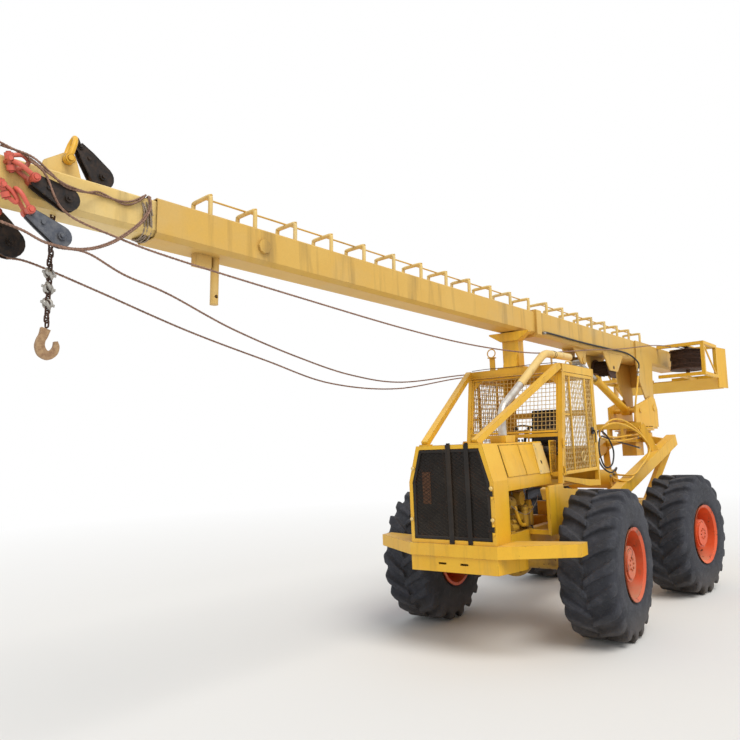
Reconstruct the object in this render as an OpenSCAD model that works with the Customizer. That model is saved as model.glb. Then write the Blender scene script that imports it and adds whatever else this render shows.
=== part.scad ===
// Articulated forestry skidder with a three-section telescopic boom.
// X points forward, Y to the machine's left, Z up.
// The origin is on the ground at the middle of the parked machine's length and width.
// The modules are drawn from the front axle, and framed() moves them to that origin.
// The rear frame is stored turned and the boom slewed and raised as the machine is parked.

/* [Frame] */
// Frame origin ahead of the front axle, at the middle of the parked length
origin_x = 240; // [170:10:310]
// Frame origin to the left of the front axle's middle, at the middle of the parked width
origin_y = 170; // [100:10:240]

/* [Chassis] */
// Distance between the two axles when the machine is straight
wheelbase = 3260; // [3200:10:3400]
// Distance of the articulation pivot behind the front axle
pivot_back = 1710; // [1690:10:1740]
// Angle at which the rear frame is parked
steer_angle = -9.6; // [-20:0.1:10]
// Half distance between the middles of a pair of tyres
half_track = 1210; // [1200:10:1300]

/* [Wheels] */
// Radius of a tyre over its lugs
tyre_r = 890; // [880:5:920]
// Width of a tyre
tyre_w = 700; // [660:10:720]
// Radius of the rim flange
rim_r = 435; // [430:1:450]
// Height of the tread lugs
lug_h = 42; // [30:1:55]
// Lugs on each side of a tread
lug_count = 20; // [16:1:22]

/* [Front end] */
// Front face of the nose from the front axle
nose_x = 1640; // [1620:5:1680]
// Depth of the nose frame
nose_d = 380; // [340:5:400]
// Half width of the nose
nose_half = 549; // [530:1:560]
// Half width of the hood top
hood_half = 432; // [410:1:440]
// Height of the hood top
hood_z = 2390; // [2370:5:2410]
// Height where the sloped hood side starts
knee_z = 1970; // [1950:5:1990]
// Height of the bumper step
step_z = 1270; // [1260:5:1290]
// Half width across the bumper wings
wing_half = 1310; // [1250:10:1400]

/* [Cab] */
// Half width of the cab
cab_half = 700; // [680:5:720]
// Foot of the front posts from the front axle
cab_foot_x = -60; // [-80:5:-40]
// Top of the front posts from the front axle
cab_top_x = -320; // [-340:5:-300]
// Rear face of the cab from the front axle
cab_rear_x = -1560; // [-1570:5:-1520]
// Height of the roof top
roof_z = 3420; // [3400:5:3440]
// Pitch of the screen wires
mesh_pitch = 72; // [60:1:90]

/* [Boom] */
// Distance of the slewing axis behind the articulation pivot
turret_back = 2750; // [2700:10:2800]
// Height of the boom's axis over the slewing axis
boom_z = 3940; // [3930:5:3960]
// Angle at which the boom is parked, from the rear frame
boom_slew = 2.2; // [-5:0.1:5]
// Angle at which the boom rises forward when it is parked
boom_rise = 2.5; // [2:0.1:3]
// Width and height of the base section
base_size = 370; // [366:1:376]
// Width and height of the middle section
mid_size = 338; // [334:1:340]
// Width and height of the tip section
tip_size = 298; // [290:1:300]
// Front end of the base section from the slewing axis
base_end = 3600; // [3500:10:3700]
// Front end of the middle section from the slewing axis
mid_end = 9660; // [9500:10:9700]
// Length of the tip section that shows in front of the middle section
tip_reach = 1590; // [1340:10:1640]
// Distance between two hoops on top of the boom
hoop_pitch = 491; // [480:1:500]

/* [Hidden] */

yellow = [0.93, 0.68, 0.16];
pale = [0.93, 0.80, 0.50];
tan_side = [0.82, 0.69, 0.45];
orange = [0.91, 0.34, 0.14];
rubber = [0.10, 0.10, 0.12];
black = [0.06, 0.06, 0.06];
steel = [0.62, 0.60, 0.56];
rust = [0.33, 0.20, 0.15];
red = [0.70, 0.24, 0.20];

axle_z = tyre_r;
turret_x = -pivot_back - turret_back;
round_fn = 48;
fine_fn = 32;

// A straight box bar between two points
module beam(a, b, w, h) {
  v = b - a;
  run = norm([v[0], v[1]]);
  translate(a)
    rotate([0, -atan2(v[2], run), atan2(v[1], v[0])])
      translate([0, -w / 2, -h / 2])
        cube([norm(v), w, h]);
}

// A straight round bar between two points
module bar(a, b, r, fn = fine_fn) {
  v = b - a;
  run = norm([v[0], v[1]]);
  translate(a)
    rotate([0, 90 - atan2(v[2], run), atan2(v[1], v[0])])
      cylinder(r = r, h = norm(v), $fn = fn);
}

// A round bar along Y, centred on the given point
module cross_bar(p, r, len, fn = fine_fn) {
  translate(p)
    rotate([90, 0, 0])
      cylinder(r = r, h = len, center = true, $fn = fn);
}

// A plate in the XZ plane, centred on y
module side_plate(points, y, t) {
  translate([0, y + t / 2, 0])
    rotate([90, 0, 0])
      linear_extrude(t)
        polygon(points);
}

// The rear frame's place when it is parked turned
module steered() {
  translate([-pivot_back, 0, 0])
    rotate(steer_angle)
      translate([pivot_back, 0, 0])
        children();
}

// The turret's place: X along the boom, Z from the ground
module on_turret() {
  steered()
    translate([turret_x, 0, 0])
      rotate(boom_slew)
        children();
}

// The boom's place: X along its axis from the slewing axis
module on_boom() {
  steered()
    translate([turret_x, 0, boom_z])
      rotate([0, -boom_rise, boom_slew])
        children();
}

// Both sides of the machine
module both_sides() {
  children();
  mirror([0, 1, 0])
    children();
}

// Front frame
rail_half = 380;
rail_w = 110;
rail_z0 = 1060;
rail_z1 = step_z + 30;
rail_front = nose_x - 60;
rail_rear = -1330;
pivot_pin_r = 55;
pivot_fit = 0.05;
fork_t = 60;
fork_gap = 5;
// Column: bottom of each fork ear
fork_ears = [700, 1380];

module front_chassis() {
  color(yellow) {
    both_sides() {
      translate([rail_rear, rail_half - rail_w, rail_z0])
        cube([hood_front - rail_rear, rail_w, rail_z1 - rail_z0]);
      translate([hood_front, rail_half - rail_w, rail_z0])
        cube([rail_front - hood_front, rail_w, step_z - rail_z0]);
    }
    translate([rail_rear, -rail_half, rail_z0 - 25])
      cube([430, 2 * rail_half, 25]);
    translate([700, -rail_half, rail_z0 - 25])
      cube([rail_front - 700, 2 * rail_half, 25]);
    translate([rail_rear, -rail_half + rail_w, rail_z0])
      cube([120, 2 * (rail_half - rail_w), rail_z1 - rail_z0]);
    // Upright bulkhead that carries the two fork ears
    translate([rail_rear - 60, -200, 640])
      cube([60, 400, 860]);
    // Ears and pins of the steering cylinders' barrels
    both_sides() {
      steer_ears(steer_pin[0], steer_pin[1], 110, rail_half - rail_w);
      translate([steer_pin[0], steer_pin[1], steer_z - 68])
        cylinder(r = steer_pin_r, h = 136, $fn = fine_fn);
      translate([steer_pin[0] + 60, rail_half - rail_w, steer_z + 66])
        cube([50, rail_w, rail_z0 - steer_z - 64]);
    }
    for (z = fork_ears)
      fork_ear(z);
  }
}

module fork_ear(z) {
  difference() {
    union() {
      translate([-pivot_back, 0, z])
        cylinder(r = 150, h = fork_t, $fn = round_fn);
      translate([-pivot_back, -150, z])
        cube([pivot_back + rail_rear - 60, 300, fork_t]);
    }
    translate([-pivot_back, 0, z - 1])
      cylinder(r = pivot_pin_r + pivot_fit, h = fork_t + 2, $fn = round_fn);
  }
}

// Axles: a housing with a bulb in the middle and a spindle at each end
housing_r = 125;
bulb_r = 250;
spindle_r = 80;
spindle_fit = 0.05;
hub_inner = 40;
hub_outer = 290;
hub_r = 210;

module axle(x, pad_z) {
  color(yellow) {
    cross_bar([x, 0, axle_z], housing_r, 2 * (half_track + hub_inner - 10), round_fn);
    cross_bar([x, 0, axle_z], spindle_r, 2 * (half_track + hub_inner + 130), round_fn);
    translate([x, 0, axle_z])
      sphere(r = bulb_r, $fn = round_fn);
    both_sides()
      translate([x - 130, rail_half - rail_w - 20, axle_z])
        cube([260, rail_w + 40, pad_z - axle_z]);
    both_sides()
      cross_bar([x, half_track - 420, axle_z], housing_r + 45, 60, round_fn);
  }
}

module front_axle() {
  difference() {
    axle(0, rail_z0);
    translate([-200, -200, rail_z0])
      cube([400, 400, 200]);
  }
}

module rear_axle() {
  steered()
    difference() {
      axle(-wheelbase, rail_z0);
      translate([-wheelbase - 200, -200, rail_z0])
        cube([400, 400, 200]);
    }
}

// Wheels
rim_t = 14;
bead_r = rim_r - 28;
tyre_gap = 0.4;

module at_wheel(x, side) {
  translate([x, side * half_track, axle_z])
    rotate([-90 * side, 0, 0])
      children();
}

// Rim, drawn along Z with Z pointing outward; columns: radius, height
module rim() {
  edge = tyre_w / 2 - 8;
  color(orange)
    difference() {
      union() {
        rotate_extrude($fn = round_fn)
          polygon([
            [bead_r - rim_t, -edge], [rim_r, -edge], [rim_r, -edge + rim_t], [bead_r, -edge + 40],
            [bead_r, edge - 40], [rim_r, edge - rim_t], [rim_r, edge], [bead_r - rim_t, edge - 26],
            [bead_r - rim_t - 20, 110], [hub_r, 60], [hub_r, 30], [bead_r - rim_t, 70]
          ]);
        translate([0, 0, hub_inner])
          cylinder(r = hub_r, h = hub_outer - hub_inner - 20, $fn = round_fn);
        cylinder(r = hub_r - 35, h = hub_outer, $fn = round_fn);
        for (a = [0:45:315])
          rotate(a)
            translate([hub_r + 38, 0, 50])
              cylinder(r = 16, h = 45, $fn = 16);
      }
      translate([0, 0, -1])
        cylinder(r = spindle_r + spindle_fit, h = hub_inner + 136, $fn = round_fn);
      translate([0, 0, -1])
        cylinder(r = housing_r + 10, h = hub_inner - 2, $fn = round_fn);
    }
}

// Section of the tyre, open to the rim between its beads; columns: radius, height
carcass_r = tyre_r - lug_h;
tyre_wall = 40;
function tyre_side(t) = [
  [600, t - tyre_w / 2], [carcass_r - 130, t - tyre_w / 2 + 12],
  [carcass_r - 30 - t, t / 2 - tyre_w / 2 + 70], [carcass_r - t, 170 - tyre_w / 2]
];
function tyre_outer() = concat(
  [[bead_r + tyre_gap, 60 - tyre_w / 2], [rim_r + 16, 34 - tyre_w / 2], [rim_r + 70, 6 - tyre_w / 2]],
  tyre_side(0)
);
function tyre_inner() = concat(
  [[bead_r + tyre_gap, 110 - tyre_w / 2], [rim_r + 60, tyre_wall + 16 - tyre_w / 2]],
  tyre_side(tyre_wall)
);
function flipped(points) = [for (i = [len(points) - 1:-1:0]) [points[i][0], -points[i][1]]];
function backward(points) = [for (i = [len(points) - 1:-1:0]) points[i]];
module tyre_section() {
  inner = tyre_inner();
  polygon(concat(tyre_outer(), flipped(tyre_outer()), backward(flipped(inner)), backward(inner)));
}

// One lug of the tread, from the middle to the shoulder
lug_len = tyre_w / 2 - 12;
lug_lean = 26;
module lug() {
  translate([0, 0, 14])
    rotate([90, 0, 0])
      linear_extrude(62, center = true)
        polygon([
          [carcass_r - 24, 0], [tyre_r, 0], [tyre_r - 6, lug_len - 110], [tyre_r - 52, lug_len - 20],
          [tyre_r - 150, lug_len - 14], [carcass_r - 140, lug_len - 60], [carcass_r - 24, lug_len - 150]
        ]);
}

module tyre(hand) {
  step = 360 / lug_count;
  color(rubber) {
    rotate_extrude($fn = round_fn)
      tyre_section();
    for (i = [0:lug_count - 1]) {
      rotate(i * step)
        slanted(hand)
          lug();
      rotate((i + 0.5) * step)
        mirror([0, 0, 1])
          slanted(hand)
            lug();
    }
  }
}

// Leans a lug so that its shoulder end trails its middle
module slanted(hand) {
  rotate([hand * lug_lean, 0, 0])
    children();
}

// Engine bay
engine_y = 300;
module engine() {
  color(yellow) {
    translate([80, -engine_y + 40, rail_z1])
      cube([840, 2 * engine_y - 80, 330]);
    translate([60, -200, rail_z1 + 330])
      cube([880, 400, 260]);
    for (x = [110, 390, 670])
      translate([x, -150, rail_z1 + 590])
        cube([230, 300, 90]);
    translate([150, engine_y - 40, rail_z1 + 120])
      cube([560, 70, 90]);
    // Feet on the chassis rails
    both_sides()
      for (x = [180, 720])
        translate([x, engine_y - 50, rail_z1])
          cube([120, rail_half - engine_y + 30, 26]);
    cross_bar([520, engine_y - 20, rail_z1 + 400], 85, 200);
    bar([240, engine_y - 40, rail_z1 + 300], [240, engine_y + 60, rail_z1 + 300], 60);
    translate([920, 0, rail_z1 + 300])
      rotate([0, 90, 0])
        cylinder(r = 110, h = 90, $fn = fine_fn);
  }
  color(black)
    for (a = [0:60:300])
      translate([1020, 0, rail_z1 + 300])
        rotate([a, 0, 0])
          translate([0, -45, 0])
            cube([40, 90, 300]);
  color(black)
    translate([1000, 0, rail_z1 + 300])
      rotate([0, 90, 0])
        cylinder(r = 95, h = 68, $fn = fine_fn);
}

module radiator() {
  depth = 110;
  x = nose_x - nose_d - depth - 20;
  color(black) {
    translate([x, -hood_half + 50, rail_z1])
      cube([depth, 2 * hood_half - 100, 700]);
    translate([x - 15, -hood_half + 30, rail_z1 + 700])
      cube([depth + 30, 2 * hood_half - 60, 110]);
    both_sides()
      translate([x - 15, hood_half - 50, rail_z1])
        cube([depth + 30, 40, 700]);
  }
}

// Nose section, narrower above the knee; columns: y, z
nose_t = 45;
module nose_outline(t) {
  polygon([
    [-nose_half + t, step_z + t], [nose_half - t, step_z + t], [nose_half - t, knee_z - t / 4],
    [hood_half - t, hood_z - t], [-hood_half + t, hood_z - t], [-nose_half + t, knee_z - t / 4]
  ]);
}

// Hinge of the grille door, in front of the frame's left edge
knuckle_r = 12;
knuckle_h = 60;
knuckle_gap = 0.5;
grille_hinges = [step_z + 150, knee_z - 160];
grille_axis = [nose_x + knuckle_r + 2, nose_half - nose_t / 2];

module nose_frame() {
  color(yellow) {
    translate([nose_x - nose_d, 0, 0])
      rotate([90, 0, 90])
        linear_extrude(nose_d)
          difference() {
            nose_outline(0);
            nose_outline(nose_t);
          }
    // Knuckles over and under the door's own
    for (z = grille_hinges, side = [-1, 1]) {
      z0 = side > 0 ? z + knuckle_h + knuckle_gap : z - 30 - knuckle_gap;
      translate([grille_axis[0], grille_axis[1], z0])
        cylinder(r = knuckle_r, h = 30, $fn = fine_fn);
      translate([nose_x - 1, grille_axis[1] - 8, z0])
        cube([knuckle_r, 24, 30]);
    }
  }
}

// Grille door: a screen of slots in a thin frame, hinged at the machine's left edge
grille_gap = 6;
grille_t = 22;
grille_slots = 30;
grille_rise = (hood_z - step_z - 2 * nose_t - 140) / grille_slots;
module grille_door() {
  inset = nose_t + grille_gap;
  color(black) {
    translate([nose_x - grille_t, 0, 0])
      rotate([90, 0, 90])
        linear_extrude(grille_t)
          difference() {
            nose_outline(inset);
            for (i = [0:grille_slots - 1])
              grille_row(i, inset + 30);
          }
    // Straps over the screen and the two hinge knuckles
    for (y = [-65, 190])
      translate([nose_x, y, step_z + inset + 4])
        cube([8, y < 0 ? 50 : 32, hood_z - step_z - 2 * inset - 8]);
    for (z = grille_hinges) {
      translate([grille_axis[0], grille_axis[1], z])
        cylinder(r = knuckle_r, h = knuckle_h, $fn = fine_fn);
      translate([nose_x - 2, nose_half - nose_t - grille_gap - 30, z])
        cube([10, 30, knuckle_h]);
      translate([nose_x + 1, nose_half - nose_t - grille_gap - 30, z])
        cube([7, grille_axis[1] - nose_half + nose_t + grille_gap + 30, knuckle_h]);
    }
  }
}

// One row of grille holes; every second row is shifted by half a pitch
module grille_row(i, inset) {
  pitch = 62;
  z = step_z + inset + 10 + i * grille_rise;
  over = max(0, z + grille_rise - knee_z);
  half = nose_half - inset - over * (nose_half - hood_half) / (hood_z - knee_z) - 16;
  count = floor(half / pitch);
  for (k = [-count:count - 1])
    translate([k * pitch + (i % 2) * pitch / 2, z])
      square([pitch - 16, grille_rise - 12]);
}

// Hood: a folded shell over the engine, open at the sides below its skirt
hood_t = 12;
hood_rear = -60;
hood_front = nose_x - nose_d;
skirt_z = 1840;
module hood_outline(t) {
  polygon([
    [-nose_half + t, skirt_z], [-nose_half + t, knee_z - t / 3], [-hood_half + t / 2, hood_z - t],
    [hood_half - t / 2, hood_z - t], [nose_half - t, knee_z - t / 3], [nose_half - t, skirt_z]
  ]);
}

module hood() {
  color(yellow) {
    translate([hood_rear, 0, 0])
      rotate([90, 0, 90])
        linear_extrude(hood_front - hood_rear)
          difference() {
            hood_outline(0);
            translate([0, -1])
              hood_outline(hood_t);
          }
    // Raised ribs of the sloped side; column: distance ahead of the hood's rear edge
    both_sides()
      for (x = [280, 620, 1000])
        beam([hood_rear + x, hood_half + 8, hood_z - 40], [hood_rear + x, nose_half - 4, knee_z + 20],
          26, 14);
  }
}

// Bumper with swept wings; columns: x, y
step_t = 14;
skirt_h = 140;
module step_outline() {
  polygon([
    [nose_x + 25, -nose_half - 10], [nose_x + 25, nose_half + 10], [1160, wing_half], [950, wing_half],
    [1160, nose_half + 10], [nose_x - nose_d, nose_half + 10], [nose_x - nose_d, -nose_half - 10],
    [1160, -nose_half - 10], [950, -wing_half], [1160, -wing_half]
  ]);
}

module bumper() {
  color(yellow) {
    difference() {
      translate([0, 0, step_z - step_t])
        linear_extrude(step_t)
          step_outline();
      translate([nose_x - nose_d - 10, -rail_half - 2, step_z - step_t - 1])
        cube([rail_front - nose_x + nose_d + 12, 2 * rail_half + 4, step_t + 2]);
    }
    translate([0, 0, step_z - skirt_h])
      linear_extrude(skirt_h - step_t)
        difference() {
          step_outline();
          translate([-18, 0])
            step_outline();
        }
    both_sides()
      translate([950, wing_half - 16, step_z - skirt_h])
        cube([200, 16, skirt_h - step_t]);
    // Lower box in front of the chassis, with two tow slots
    difference() {
      translate([0, 0, 970])
        linear_extrude(step_z - skirt_h - 970)
          difference() {
            lower_outline(0);
            lower_outline(16);
          }
      for (y = [-190, 90])
        translate([nose_x - 60, y, 1040])
          cube([200, 100, 22]);
      translate([1100, -rail_half - 2, rail_z0 - 27])
        cube([rail_front - 1100, 2 * rail_half + 4, 200]);
    }
    translate([0, 0, 956])
      linear_extrude(14)
        lower_outline(0);
  }
}

module lower_outline(t) {
  half = nose_half + 5 - t;
  polygon([
    [nose_x + 10 - t, -half], [nose_x + 10 - t, half], [1180, half + 120], [1120 + t, half + 120],
    [1120 + t, -half - 120], [1180, -half - 120]
  ]);
}

// Tanks beside the chassis, under the cab; columns: x, z
tank_in = rail_half;
function tank_side(t) = [
  [430 - t, 1240 + t], [430 - t, 1838 - t], [-55 + t, 1838 - t], [-64 + t, 1780 - t], [-1100 + t, 1690 - t],
  [-1100 + t, 1240 + t]
];
module side_tanks() {
  y = (tank_in + cab_half) / 2;
  w = cab_half - tank_in;
  color(yellow)
    both_sides()
      difference() {
        side_plate(tank_side(0), y, w);
        side_plate(tank_side(12), y, w - 24);
      }
}

// Cab
post = 60;
door_t = 34;
door_gap = 6;
// Door hinges, on the outer face of the front posts
door_axis_out = 14;
door_hinges = [1970, 2330];
sill_z = 1930;
head_z = roof_z - 110;

module cab_frame() {
  x_at = function (z) cab_foot_x + (cab_top_x - cab_foot_x) * (z - sill_z) / (roof_z - sill_z);
  color(yellow) {
    both_sides() {
      difference() {
        beam([x_at(1800) - post / 2, cab_half - post / 2, 1800],
             [x_at(roof_z) - post / 2, cab_half - post / 2, roof_z], post, post);
        translate([cab_top_x - 200, 0, head_z])
          cube([400, cab_half + 10, 300]);
        translate([cab_foot_x - 200, 0, 1600])
          cube([400, cab_half + 10, 240]);
      }
      translate([cab_rear_x, cab_half - post, 1720])
        cube([post, post, head_z - 1720]);
      // Sill whose lower edge drops to the rear
      side_plate([
        [cab_foot_x, sill_z], [cab_foot_x, 1880], [-1100, 1740], [cab_rear_x, 1720], [cab_rear_x, 1800],
        [-1100, 1830]
      ], cab_half - post / 2, post);
    }
    // Fixed knuckles of the door hinges, over and under the doors' own
    both_sides()
      for (z = door_hinges, side = [-1, 1]) {
        z0 = side > 0 ? z + knuckle_h + knuckle_gap : z - 30 - knuckle_gap;
        xp = x_at(z0) - post / 2;
        x0 = min(door_foot_x, xp - 10);
        x1 = max(door_foot_x, xp + 10);
        translate([door_foot_x, cab_half + door_axis_out, z0])
          cylinder(r = knuckle_r, h = 30, $fn = fine_fn);
        translate([x0, cab_half + 1, z0])
          cube([x1 - x0, door_axis_out - 1, 30]);
        translate([xp - 10, cab_half - 3, z0])
          cube([20, 6, 30]);
      }
    // Floor and rear wall with its window
    translate([cab_rear_x, -cab_half + post, 1790])
      cube([cab_foot_x - cab_rear_x - 60, 2 * (cab_half - post), 20]);
    difference() {
      translate([cab_rear_x, -cab_half + post, 1810])
        cube([20, 2 * (cab_half - post), head_z - 1810]);
      for (z = [2300, 2830])
        translate([cab_rear_x - 1, -cab_half + 150, z])
          cube([22, 2 * cab_half - 300, 440]);
    }
    // Front bar under the screen, and the plate behind the hood
    screen_bar = cab_half - post;
    beam([x_at(2470) - post / 2, -screen_bar, 2470], [x_at(2470) - post / 2, screen_bar, 2470], 50, 50);
    beam([x_at(1960) - post / 2, -screen_bar, 1960], [x_at(1960) - post / 2, screen_bar, 1960], 40, 60);
    // Console with its two levers
    difference() {
      translate([-560, -260, 1810])
        cube([180, 520, 520]);
      translate([-548, -248, 1800])
        cube([156, 496, 518]);
    }
    bar([-470, 90, 2300], [-500, 90, 2560], 12, 16);
    bar([-470, -90, 2300], [-500, -90, 2560], 12, 16);
  }
}

module cab_roof() {
  front = cab_top_x + 10;
  color(yellow) {
    translate([cab_rear_x - 20, -cab_half, roof_z - 30])
      cube([front - cab_rear_x + 20, 2 * cab_half, 30]);
    // Front beam with its lip, side rails and rear rail
    translate([front - 60, -cab_half, head_z])
      cube([60, 2 * cab_half, roof_z - 30 - head_z]);
    translate([front, -cab_half, head_z])
      cube([45, 2 * cab_half, 14]);
    both_sides()
      translate([cab_rear_x, cab_half - post, head_z])
        cube([front - 60 - cab_rear_x, post, roof_z - 30 - head_z]);
    translate([cab_rear_x - 20, -cab_half, head_z])
      cube([20, 2 * cab_half, roof_z - 30 - head_z]);
  }
}

// A flat screen of square wires in the XY plane, from the origin
module wire_screen(w, h, t, wire, border) {
  nx = max(1, round((w - 2 * border) / mesh_pitch));
  ny = max(1, round((h - 2 * border) / mesh_pitch));
  px = (w - 2 * border) / nx;
  py = (h - 2 * border) / ny;
  linear_extrude(t)
    difference() {
      square([w, h]);
      for (i = [0:nx - 1], j = [0:ny - 1])
        translate([border + i * px + wire / 2, border + j * py + wire / 2])
          square([px - wire, py - wire]);
    }
}

// Windscreen mesh, leaning with the front posts
screen_gap = 0.3;
screen_lean = atan2(cab_foot_x - cab_top_x, roof_z - sill_z);
module front_screen() {
  w = 2 * (cab_half - post - screen_gap);
  z0 = 2500;
  h = (head_z - z0 - 12) / cos(screen_lean);
  x0 = cab_foot_x + (cab_top_x - cab_foot_x) * (z0 - sill_z) / (roof_z - sill_z) - post / 2;
  color(steel)
    translate([x0, -w / 2, z0])
      rotate([0, -screen_lean, 0])
        rotate([90, 0, 90])
          wire_screen(w, h, 9, 8, 26);
}

door_foot_x = cab_foot_x - post - door_gap;
door_top_x = cab_top_x - post - door_gap;
door_rear_x = cab_rear_x + post + door_gap;
door_z0 = 1945;
door_z1 = head_z - door_gap;
module door_outline(t) {
  polygon([
    [door_foot_x - t - (door_z0 + t - sill_z) * tan(screen_lean), door_z0 + t],
    [door_rear_x + t, door_z0 + t],
    [door_rear_x + t, door_z1 - t],
    [door_foot_x - t - (door_z1 - sill_z) * tan(screen_lean), door_z1 - t]
  ]);
}

module door_panel() {
  color(yellow) {
    rotate([90, 0, 0])
      linear_extrude(door_t)
        difference() {
          door_outline(0);
          door_outline(45);
        }
    translate([0, -13, 0])
      rotate([90, 0, 0])
        linear_extrude(8)
          difference() {
            door_outline(20);
            intersection() {
              door_outline(46);
              mesh_holes();
            }
          }
    // Hinge leaves and knuckles
    for (z = door_hinges) {
      x0 = door_foot_x - 60 - (z + knuckle_h - sill_z) * tan(screen_lean);
      translate([door_foot_x, door_axis_out, z])
        cylinder(r = knuckle_r, h = knuckle_h, $fn = fine_fn);
      translate([x0, 1, z])
        cube([door_foot_x - x0, 7, knuckle_h]);
      translate([x0, -2, z])
        cube([40, 4, knuckle_h]);
    }
    for (x = [-560, -1180])
      translate([x - 20, -door_t, door_z0 + 10])
        cube([40, door_t, door_z1 - door_z0 - 20]);
    // Solid lower rear corner
    translate([door_rear_x + 10, -door_t, door_z0 + 10])
      cube([230, 12, 420]);
  }
}

module mesh_holes() {
  for (x = [door_rear_x + 40:mesh_pitch:door_foot_x], z = [door_z0 + 40:mesh_pitch:door_z1])
    translate([x, z])
      square([mesh_pitch - 8, mesh_pitch - 8]);
}

module left_door() {
  translate([0, cab_half, 0])
    door_panel();
}

module right_door() {
  mirror([0, 1, 0])
    translate([0, cab_half, 0])
      door_panel();
}

module seat() {
  color(black) {
    translate([-1140, -120, 1810])
      cube([240, 240, 380]);
    translate([-1340, -250, 2190])
      cube([560, 500, 110]);
    translate([-1400, -240, 2250])
      rotate([0, -10, 0])
        cube([110, 480, 620]);
  }
}

// Guard bars from the nose up to the roof corners
module sweep_bars() {
  foot = [nose_x - 40, hood_half - 100, hood_z + 18];
  top = [cab_top_x + 62, cab_half - 34, roof_z - 34];
  color(yellow)
    both_sides() {
      difference() {
        beam(foot, top, 76, 76);
        translate([foot[0] - 200, foot[1] - 200, hood_z - 200])
          cube([400, 400, 200]);
      }
      translate([nose_x - 120, hood_half - 160, hood_z])
        cube([110, 120, 16]);
    }
}

// Exhaust: stands on the hood, leans back and lies over the roof
pipe_r = 50;
function unit(v) = v / norm(v);

// Band round a mitred bend at p, between the points before and after it
module pipe_band(p, before, after, r) {
  along = unit(unit(p - before) + unit(after - p));
  bar(p - 32 * along, p + 32 * along, r);
}

module exhaust() {
  foot = [860, 330, hood_z];
  bend = [860, 330, 2800];
  elbow = [-500, 390, 3602];
  end = [-1480, 390, 3625];
  color(steel) {
    translate(foot)
      cylinder(r = pipe_r + 18, h = 26, $fn = fine_fn);
    bar(foot + [0, 0, 14], bend + 14 * unit(bend - foot), pipe_r);
    pipe_band(bend, foot, elbow, pipe_r + 8);
    bar(bend - 14 * unit(elbow - bend), bend + 0.42 * (elbow - bend), pipe_r);
  }
  color(pale) {
    bar(bend + 0.40 * (elbow - bend), elbow + 14 * unit(elbow - bend), pipe_r + 4);
    pipe_band(elbow, bend, end, pipe_r + 12);
    bar(elbow - 14 * unit(end - elbow), end, pipe_r + 4);
    bar([-760, 390, roof_z], [-760, 390, elbow[2] - pipe_r + 2], 14, 16);
    translate([650, 190, hood_z])
      cube([170, 170, 90]);
  }
}

// Cradle on the roof that the parked boom lies on
cradle_x = -470;
cradle_s = 4010;
tray_d = 205;
tray_h = 126;
tray_half = 300;
cradle_gap = 6;
cradle_rear = cradle_x - 75;
cradle_top = boom_z + (cradle_s - 75) * sin(boom_rise) - mid_size / 2 / cos(boom_rise) - cradle_gap;
module boom_cradle() {
  y = boom_line_y(cradle_x);
  color(yellow) {
    translate([cradle_x - 150, y - 190, roof_z])
      cube([300, 380, 24]);
    translate([cradle_x - 90, y - 120, roof_z + 24])
      cube([180, 240, cradle_top - roof_z - 130]);
    // Tray with sloped sides; its rear corners are cut clear of the boom's collar
    intersection() {
      translate([cradle_rear, y, cradle_top - tray_h])
        rotate([90, 0, 90])
          linear_extrude(tray_d)
            polygon([[-130, 0], [130, 0], [tray_half, tray_h - 20], [tray_half, tray_h], [-tray_half, tray_h],
              [-tray_half, tray_h - 20]]);
      translate([cradle_rear, y, roof_z])
        linear_extrude(cradle_top)
          polygon([[0, -90], [115, -tray_half], [tray_d, -tray_half], [tray_d, tray_half], [115, tray_half],
            [0, 90]]);
    }
    // Sloped wedge in front of the post
    side_plate([
      [cradle_x + 80, roof_z + 20], [cradle_x + 150, roof_z + 20], [cradle_x + 90, roof_z + 200],
      [cradle_x + 80, roof_z + 200]
    ], y, 200);
  }
}

// Where the boom's axis passes over a given x, on the front frame
function boom_line_y(x) =
  pivot_y(-turret_back) + (x - (-pivot_back + pivot_x(-turret_back))) * tan(steer_angle + boom_slew);
function pivot_x(back) = back * cos(steer_angle);
function pivot_y(back) = back * sin(steer_angle);

// Rear frame, drawn straight; the fork's tongue turns between the ears
rear_rail_top = 1330;
tail_x = -wheelbase - 880;
beam_y = 600;
beam_w = 160;
beam_h = 190;
module rear_chassis() {
  tongue_z0 = fork_ears[0] + fork_t + fork_gap;
  tongue_z1 = fork_ears[1] - fork_gap;
  steered()
    color(yellow) {
      both_sides()
        translate([tail_x, rail_half - rail_w, rail_z0])
          cube([-pivot_back - 330 - tail_x, rail_w, rear_rail_top - rail_z0]);
      for (x = [tail_x, -2400])
        translate([x, -rail_half + rail_w, rail_z0])
          cube([140, 2 * (rail_half - rail_w), rear_rail_top - rail_z0]);
      // Knuckle between the fork ears
      translate([-pivot_back - 430, -rail_half + rail_w - 2, tongue_z0])
        cube([160, 2 * (rail_half - rail_w) + 4, tongue_z1 - tongue_z0]);
      translate([-pivot_back - 280, -90, tongue_z0])
        cube([280 - 90, 180, tongue_z1 - tongue_z0]);
      translate([-pivot_back, 0, tongue_z0])
        cylinder(r = 130, h = tongue_z1 - tongue_z0, $fn = round_fn);
      translate([-pivot_back, 0, fork_ears[0] - 20])
        cylinder(r = pivot_pin_r, h = fork_ears[1] + fork_t - fork_ears[0] + 40, $fn = round_fn);
      both_sides() {
        steer_ears(steer_pin[2], steer_pin[3], -ear_back, rail_half - 10);
        translate([steer_pin[2] - ear_back, rail_half - 50, steer_z + 66])
          cube([ear_back, 50, rail_z0 - steer_z - 64]);
      }
    }
}

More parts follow.
